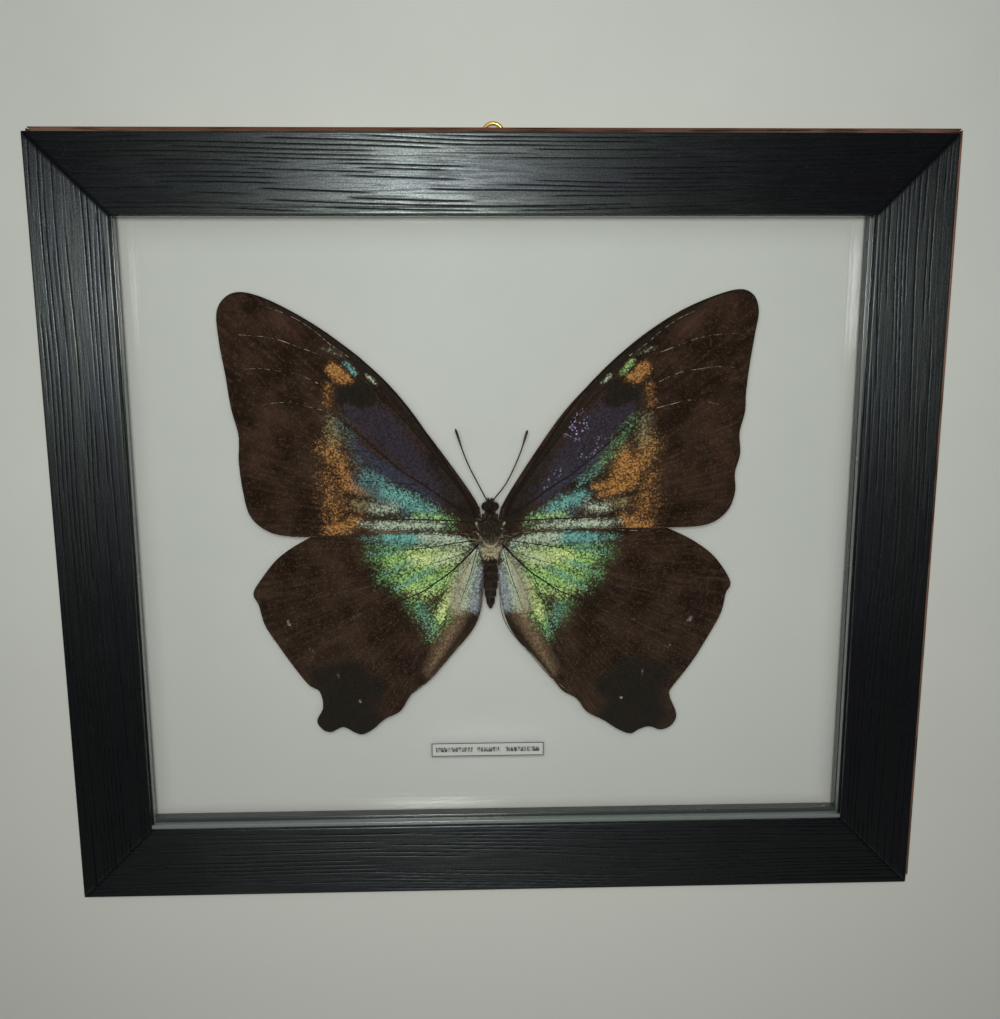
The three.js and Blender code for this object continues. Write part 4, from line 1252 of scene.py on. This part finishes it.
in_edit(abdomen, close_shell)
LEGS = (((-0.7, 8.5, 3.4), (-2.1, 9.15, 4.6), (-1.5, 9.3, 1.2), (-1.2, 9.35, -2.6)),
        ((-0.8, 8.7, 1.4), (-2.6, 9.0, 0.6), (-2.0, 9.2, -4.4), (-1.5, 9.3, -8.0)))
leg_lines = [leg([(BODY_X - side * x, y, z) for x, y, z in points], 0.24)
             for points in LEGS for side in (-1, 1)]
parts = [
    abdomen,
    ball("head", BODY_X, 6.3, 7.2, 1.65, 1.6, 1.9),
    ball("neck", BODY_X, 6.5, 5.2, 1.5, 1.5, 1.4),
    ball("thorax", BODY_X, 6.6, 0.8, 2.85, 2.5, 4.4),
    ball("rear_thorax", BODY_X, 6.7, -3.8, 2.3, 2.1, 2.3),
    tubes("legs", leg_lines)]
for side in (-1, 1):
    parts.append(ball(f"shoulder{side}", BODY_X + side * 1.9, 6.0, 1.2, 1.5, 1.5, 2.6))
    parts.append(ball(f"palp{side}", BODY_X + side * 0.5, 6.9, 8.7, 0.42, 0.6, 0.95))
body = join(parts, "butterfly_body")
apply_modifier(body, "REMESH", mode="VOXEL", voxel_size=0.13 * MM)
apply_modifier(body, "SMOOTH", factor=0.5, iterations=4)
x, y, z = face_mm(body).T
store(body, "cream", np.maximum(
    ease(1 - np.abs(z + 4.6) / 1.4) * ease((y - 4) / 1) * 0.7,
    ease(1 - np.abs(np.hypot((x - BODY_X) * 0.9, z + 1.0) - 2.6) / 0.35) * (z < -0.6) * (y < 6.5)))
store(body, "furry", ease((z + 6.4) / 1.2))
through = ((ABDOMEN_TOP - z) % SEGMENT) / SEGMENT
store(body, "rim", ease(1 - np.abs(through - 0.84) / 0.13) * (z < -6.6))
smooth(body, 80)
report(body)

# %% [markdown]
# The eyes are two balls sunk into the head, with a fine net of facets in their material. The
# fur and horn of the body share one finish, which reads where the pale bands lie and where the
# abdomen is bare, ringed and a little glossy.

# %% Body finishes and eyes
fur_finish, tree, shader = material("body_fur")
place = here(tree)
cream = kept(tree, "cream")
lengthwise = node(tree, "VectorMath", {0: place, 1: (1, 1, 0.25)}, operation="MULTIPLY").outputs[0]
strands = noise(tree, lengthwise, 5200.0, 3.0, 0.6)
mottle = spread(tree, noise(tree, place, 900.0, 4.0), 0.35, 0.7)
coat = mixed(tree, mottle, colour(20, 14, 11), colour(40, 31, 24))
coat = mixed(tree, calc(tree, "MULTIPLY", cream, spread(tree, strands, 0.38, 0.56)), coat,
             colour(194, 184, 142))
bare = calc(tree, "SUBTRACT", 1.0, kept(tree, "furry"))
coat = mixed(tree, calc(tree, "MULTIPLY", kept(tree, "rim"), mottle), coat, colour(70, 58, 46))
sheen = spread(tree, strands, 0.2, 0.8, 0.5, 0.8)
feed(tree, shader, Base_Color=coat,
     Roughness=calc(tree, "MULTIPLY_ADD", bare, -0.24, sheen),
     Specular_IOR_Level=calc(tree, "MULTIPLY_ADD", bare, 0.35, 0.25),
     Normal=bump(tree, strands, 0.00012, 0.9))

eye_finish, tree, shader = material("eye", Roughness=0.22, Specular_IOR_Level=0.6)
facets = use(tree, scales, Vector=here(tree), Size=0.00014)
feed(tree, shader, Base_Color=mixed(tree, facets["Chance"], colour(22, 16, 13),
                                    colour(40, 30, 24)),
     Normal=bump(tree, facets["Height"], 0.00002, 0.6))
body.data.materials.clear()
body.data.materials.append(fur_finish)
eyes = []
for side in (-1, 1):
    eye = ball(f"eye{side}", BODY_X + side * 1.4, 6.0, 7.5, 1.05, 1.15, 1.25)
    in_edit(eye, lambda: bpy.ops.mesh.subdivide(number_cuts=1, smoothness=1.0))
    eye.data.materials.append(eye_finish)
    smooth(eye, 80)
    eyes.append(eye)
body = join([body] + eyes, "butterfly_body")
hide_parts("body")
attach(body, "frame")
report(body)

# %% [markdown]
# ## Fur
# Particle hair would not survive an export, so each hair is a thin three-sided spike in one
# joined mesh. Roots are chosen on the body's faces by chance from a fixed seed, and each hair
# leans backwards along the body. A number on each hair says how pale it is.

# %% Hair from arrays
HAIR_POINTS = 7  # two rings of three, and the tip


def hair_mesh(name, roots, leans, lengths, widths, pale, seed):
    """Three-sided spikes with one bend, all in millimetres."""
    chance = np.random.default_rng(seed)
    count = len(roots)
    along = leans / np.linalg.norm(leans, axis=1, keepdims=True)
    across = np.cross(along, chance.normal(size=(count, 3)))
    across /= np.linalg.norm(across, axis=1, keepdims=True)
    third = np.cross(along, across)
    middle = roots + along * (lengths * 0.55)[:, None]
    droop = chance.normal(scale=0.12, size=(count, 3)) * lengths[:, None]
    tips = roots + along * lengths[:, None] + droop
    rings = []
    for centre, share in ((roots, 1.0), (middle, 0.7)):
        for turn in (0, 2 * math.pi / 3, 4 * math.pi / 3):
            offset = across * math.cos(turn) + third * math.sin(turn)
            rings.append(centre + offset * (widths * share)[:, None])
    points = np.stack(rings + [tips], axis=1).reshape(-1, 3)
    first = np.arange(count) * HAIR_POINTS
    pattern = [(0, 1, 4, 3), (1, 2, 5, 4), (2, 0, 3, 5), (3, 4, 6), (4, 5, 6), (5, 3, 6), (2, 1, 0)]
    faces = [tuple(start + i for i in face) for start in first for face in pattern]
    mesh = bpy.data.meshes.new(name)
    mesh.from_pydata(to_metres(points).tolist(), [], faces)
    piece = bpy.data.objects.new(name, mesh)
    bpy.context.scene.collection.objects.link(piece)
    store(piece, "pale_hair", np.repeat(pale, HAIR_POINTS))
    in_edit(piece, lambda: bpy.ops.mesh.normals_make_consistent(inside=False))
    return piece


print("hair helper ready")

# %% Fur of the body
hair_finish, tree, shader = material("hair", Roughness=0.55, Specular_IOR_Level=0.35)
place = here(tree)
tint = noise(tree, place, 2400.0, 2.0)
hair = mixed(tree, tint, colour(24, 17, 13), colour(48, 36, 28))
hair = mixed(tree, kept(tree, "pale_hair"), hair, colour(200, 191, 156))
feed(tree, shader, Base_Color=hair)

surface = body.evaluated_get(bpy.context.evaluated_depsgraph_get()).data
centres = np.array([face.center for face in surface.polygons])
normals = np.array([face.normal for face in surface.polygons])
areas = np.array([face.area for face in surface.polygons])
mats = np.array([face.material_index for face in surface.polygons])
centres = (centres - np.array(FACE)) / MM
chance = np.random.default_rng(5)


def fur(name, where, count, length, width, lean, paleness, seed):
    """Hair on the body's faces that pass a test."""
    weight = areas * where(*centres.T) * (mats == 0)
    picked = chance.choice(len(centres), count, p=weight / weight.sum())
    leans = (normals[picked] * 0.55 + np.array(lean)
             + np.c_[np.sign(centres[picked, 0] - BODY_X) * 0.12, np.zeros((count, 2))]
             + chance.normal(scale=0.2, size=(count, 3)))
    lengths = length * chance.uniform(0.6, 1.3, count)
    pale = np.clip(paleness(*centres[picked].T) + chance.normal(scale=0.12, size=count), 0, 1)
    pale = np.where(chance.random(count) < 0.5, pale, pale * 0.3)
    return hair_mesh(name, centres[picked], leans, lengths, np.full(count, width), pale, seed)


thorax_fur = fur("thorax_fur", lambda x, y, z: (z > -3.2) & (z < 5.6) & (y < 8.6), 3600, 1.15,
                 0.028, (0, -0.12, -0.75), lambda x, y, z: 0.04 + 0.3 * ease(-z / 3), 21)
head_fur = fur("head_fur", lambda x, y, z: (z > 5.2) & (np.abs(x - BODY_X) < 1.4), 700, 0.55,
               0.024, (0, -0.1, 0.15), lambda x, y, z: 0.04 + 0 * x, 22)
waist_fur = fur("waist_fur", lambda x, y, z: (z < -2.6) & (z > -7.2) & (y < 8.4), 900, 0.85,
                0.04, (0, -0.05, -0.9), lambda x, y, z: np.where(z > -3.7, 0.3, 0.9), 23)
abdomen_fur = fur("abdomen_fur", lambda x, y, z: (z < -7.0), 1200, 0.35, 0.02,
                  (0, 0, -1.4), lambda x, y, z: 0.1 + 0 * x, 24)

# %% [markdown]
# At the roots of the wings the real insect has a wedge of long hairs, dark with grey among
# them, which covers the hinge between fore and hind wing. Lines of short cream hair edge the
# plates of its back: each hair stands on the body face that is nearest to its place.

# %% Tufts at the wing roots
TUFT_HAIRS = 620


def tuft(name, side, seed, root, tip, scatter, rise, lengths, cream):
    """Hairs along a line from root to tip, given as how far out and up from the waist."""
    chance = np.random.default_rng(seed)
    count = TUFT_HAIRS
    share = chance.random(count) ** 1.2
    out = root[0] + (tip[0] - root[0]) * share
    wide = chance.normal(scale=scatter, size=count) * (1.1 - share)
    up_ = root[1] + (tip[1] - root[1]) * share + wide
    roots = np.stack([BODY_X + side * out, 5.5 + 0.02 * out + chance.normal(scale=0.08, size=count),
                      up_], 1)
    leans = np.stack([side * np.ones(count), -0.1 + chance.normal(scale=0.08, size=count),
                      rise + chance.normal(scale=0.22, size=count)], 1)
    pale = np.where(chance.random(count) < cream, chance.uniform(0.3, 0.8, count), 0.0)
    return hair_mesh(name, roots, leans, chance.uniform(*lengths, count), np.full(count, 0.035),
                     pale, seed + 1)


tufts = []
for side, way in (("left", -1), ("right", 1)):
    tufts.append(tuft("root_" + side, way, 32 + way, (2.2, -2.4), (7.2, -0.2), 0.5, 0.25,
                      (0.8, 1.9), 0.14))
    tufts.append(tuft("joint_" + side, way, 72 + way, (2.4, 1.4), (5.6, -1.6), 0.5, 0.1,
                      (0.8, 1.6), 0.08))
    tufts.append(tuft("shoulder_" + side, way, 52 + way, (2.5, 2.4), (2.9, 7.2), 0.2, 0.7,
                      (0.9, 2.1), 0.05))
print("tufts:", len(tufts))

# %% Cream lines on the back
CREAM_LINES = (
    ((-5.6, 0.3), (-5.0, -0.6), (-4.5, -1.4), (-3.5, -2.8), (-2.0, -3.4), (-0.5, -2.8), (0.5, -1.4),
     (1.0, -0.6), (1.5, 0.3)),
    ((-5.9, 3.2), (-5.5, 1.6), (-5.8, 0.2)), ((1.8, 3.2), (1.3, 1.6), (1.7, 0.2)),
    ((-4.6, -4.4), (-3.2, -5.6), (-1.9, -5.9), (-0.7, -5.6), (0.6, -4.4)))


def hair_line(points, seed):
    """Short cream hairs along a line that is laid on the front of the body."""
    chance = np.random.default_rng(seed)
    line = smooth_line(points, 90 * len(points))
    x, z = (line + chance.normal(scale=0.09, size=line.shape)).T
    gap = np.hypot(centres[:, 0] - x[:, None], centres[:, 2] - z[:, None]) + (centres[:, 1] > 6.6) * 9
    roots = np.stack([x, centres[np.argmin(gap, axis=1), 1] - 0.25, z], 1)
    leans = np.stack([chance.normal(scale=0.5, size=len(x)), np.full(len(x), -0.35),
                      -0.8 + chance.normal(scale=0.35, size=len(x))], 1)
    return hair_mesh(f"cream_line_{seed}", roots, leans, chance.uniform(0.35, 0.8, len(x)),
                     np.full(len(x), 0.03), chance.uniform(0.5, 1.0, len(x)), seed + 1)


cream_lines = [hair_line(points, 41 + 2 * number) for number, points in enumerate(CREAM_LINES)]
fur_coat = join([thorax_fur, head_fur, waist_fur, abdomen_fur] + tufts + cream_lines,
                "butterfly_fur")
fur_coat.data.materials.clear()
fur_coat.data.materials.append(hair_finish)
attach(fur_coat, "frame")
report(fur_coat)

# %% [markdown]
# ## Antennae
# An antenna is a hair-thin ringed wire with a slim club. It is drawn as one curve whose
# thickness rises and falls at every ring.

# %% Antennae
ANTENNA_RADIUS, CLUB_RADIUS = 0.19, 0.34
ANTENNAE = {
    "antenna_left": ((-2.9, 5.6, 8.9), (-3.2, 5.5, 9.6), (-5.3, 5.2, 13.7), (-8.7, 5.0, 20.8),
                     (-11.5, 5.0, 29.2)),
    "antenna_right": ((-1.3, 5.6, 8.9), (-1.0, 5.5, 9.6), (2.5, 5.2, 14.3), (5.9, 5.0, 21.6),
                      (8.2, 5.0, 28.7)),
}
horn, tree, shader = material("horn", Roughness=0.45)
band = noise(tree, here(tree), 1500.0, 2.0)
feed(tree, shader, Base_Color=mixed(tree, spread(tree, band, 0.4, 0.7), colour(28, 24, 20),
                                    colour(74, 66, 52)))
for name, points in ANTENNAE.items():
    path = smooth_line(points, 150)
    share = np.linspace(0, 1, 150)
    rings = 1 + 0.07 * np.cos(np.arange(150) * math.pi * 0.5)
    thick = ANTENNA_RADIUS + (CLUB_RADIUS - ANTENNA_RADIUS) * ease((share - 0.82) / 0.1)
    thick = thick * rings * np.sqrt(np.clip((1.0 - share) / 0.03, 0.02, 1))
    piece = tubes(name + "_ringed", [(path, thick)])
    piece.data.materials.clear()
    piece.data.materials.append(horn)
    smooth(piece, 60)
    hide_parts(name)
    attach(piece, "frame")
    report(piece)

# %% [markdown]
# ## Hanger
# A small brass plate is screwed to the back of the top rail, and a ring swings in its rolled
# eye. The plate's CAD shape is right. The screws get a dome and a slot, cut with a Boolean, and
# the ring is a fine torus with the faint seam where its wire meets.

# %% Brass
brass, tree, shader = material("brass", Metallic=0.75)
place = here(tree)
hands = use(tree, handling, Vector=place)
tarnish = spread(tree, noise(tree, place, 420.0, 4.0, 0.65), 0.4, 0.7)
metal = mixed(tree, tarnish, colour(206, 172, 98), colour(132, 98, 48))
feed(tree, shader, Base_Color=metal, Roughness=calc(
    tree, "ADD", spread(tree, tarnish, 0, 1, 0.2, 0.42), calc(tree, "MULTIPLY", hands["Dust"], 0.2)),
     Normal=bump(tree, noise(tree, place, 2600.0, 3.0), 0.00001, 0.5))
finish_node("hanger_plate", brass, 0.12, 3)

# %% Screws and ring
SCREW_RADIUS, SCREW_HEIGHT, SLOT_WIDTH, SLOT_DEPTH = 1.5, 0.66, 0.34, 0.32


def screw(name, node_name, turn):
    low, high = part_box(node_name)
    middle = (low + high) / 2
    bpy.ops.mesh.primitive_uv_sphere_add(segments=48, ring_count=24, radius=1,
                                         location=(middle.x, low.y, middle.z),
                                         scale=(SCREW_RADIUS * MM, SCREW_HEIGHT * MM,
                                                SCREW_RADIUS * MM))
    head = added(name)
    in_edit(head, lambda: bpy.ops.mesh.bisect(
        plane_co=(0, low.y + 0.02 * MM, 0), plane_no=(0, 1, 0), use_fill=True, clear_inner=True))
    bpy.ops.mesh.primitive_cube_add(size=1, location=(middle.x, low.y + SCREW_HEIGHT * MM,
                                                      middle.z),
                                    rotation=(0, math.radians(turn), 0),
                                    scale=(4 * MM, 2 * SLOT_DEPTH * MM, SLOT_WIDTH * MM))
    cutter = added(name + "_cutter")
    apply_modifier(head, "BOOLEAN", operation="DIFFERENCE", object=cutter, solver="EXACT")
    bpy.data.objects.remove(cutter)
    apply_modifier(head, "BEVEL", width=0.04 * MM, segments=2, limit_method="ANGLE",
                   angle_limit=math.radians(35))
    head.data.materials.append(brass)
    smooth(head, 40)
    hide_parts(node_name)
    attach(head, "frame")
    report(head)


screw("slotted_screw_upper", "hanger_screw_upper", 24)
screw("slotted_screw_lower", "hanger_screw_lower", -51)

low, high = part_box("hanger_ring")
ring_middle = (low + high) / 2
WIRE_RADIUS = 0.5 * MM
ring_reach = (high.x - low.x) / 2 - WIRE_RADIUS
bpy.ops.mesh.primitive_torus_add(major_segments=144, minor_segments=24, major_radius=ring_reach,
                                 minor_radius=WIRE_RADIUS, location=ring_middle,
                                 rotation=(math.pi / 2, 0, 0))
ring = added("wire_ring")
SEAM_ANGLE, SEAM_HALF = math.radians(200), math.radians(1.4)
for vertex in ring.data.vertices:
    from_middle = vertex.co - ring_middle
    angle = math.atan2(from_middle.z, from_middle.x) % (2 * math.pi)
    core = Vector((math.cos(angle), 0, math.sin(angle))) * ring_reach + ring_middle
    if abs(angle - SEAM_ANGLE) < SEAM_HALF:
        vertex.co = core + (vertex.co - core) * 0.86
ring.data.materials.clear()
ring.data.materials.append(brass)
smooth(ring, 80)
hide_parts("hanger_ring")
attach(ring, "ring")
catches_streak.objects.link(ring)
report(ring)
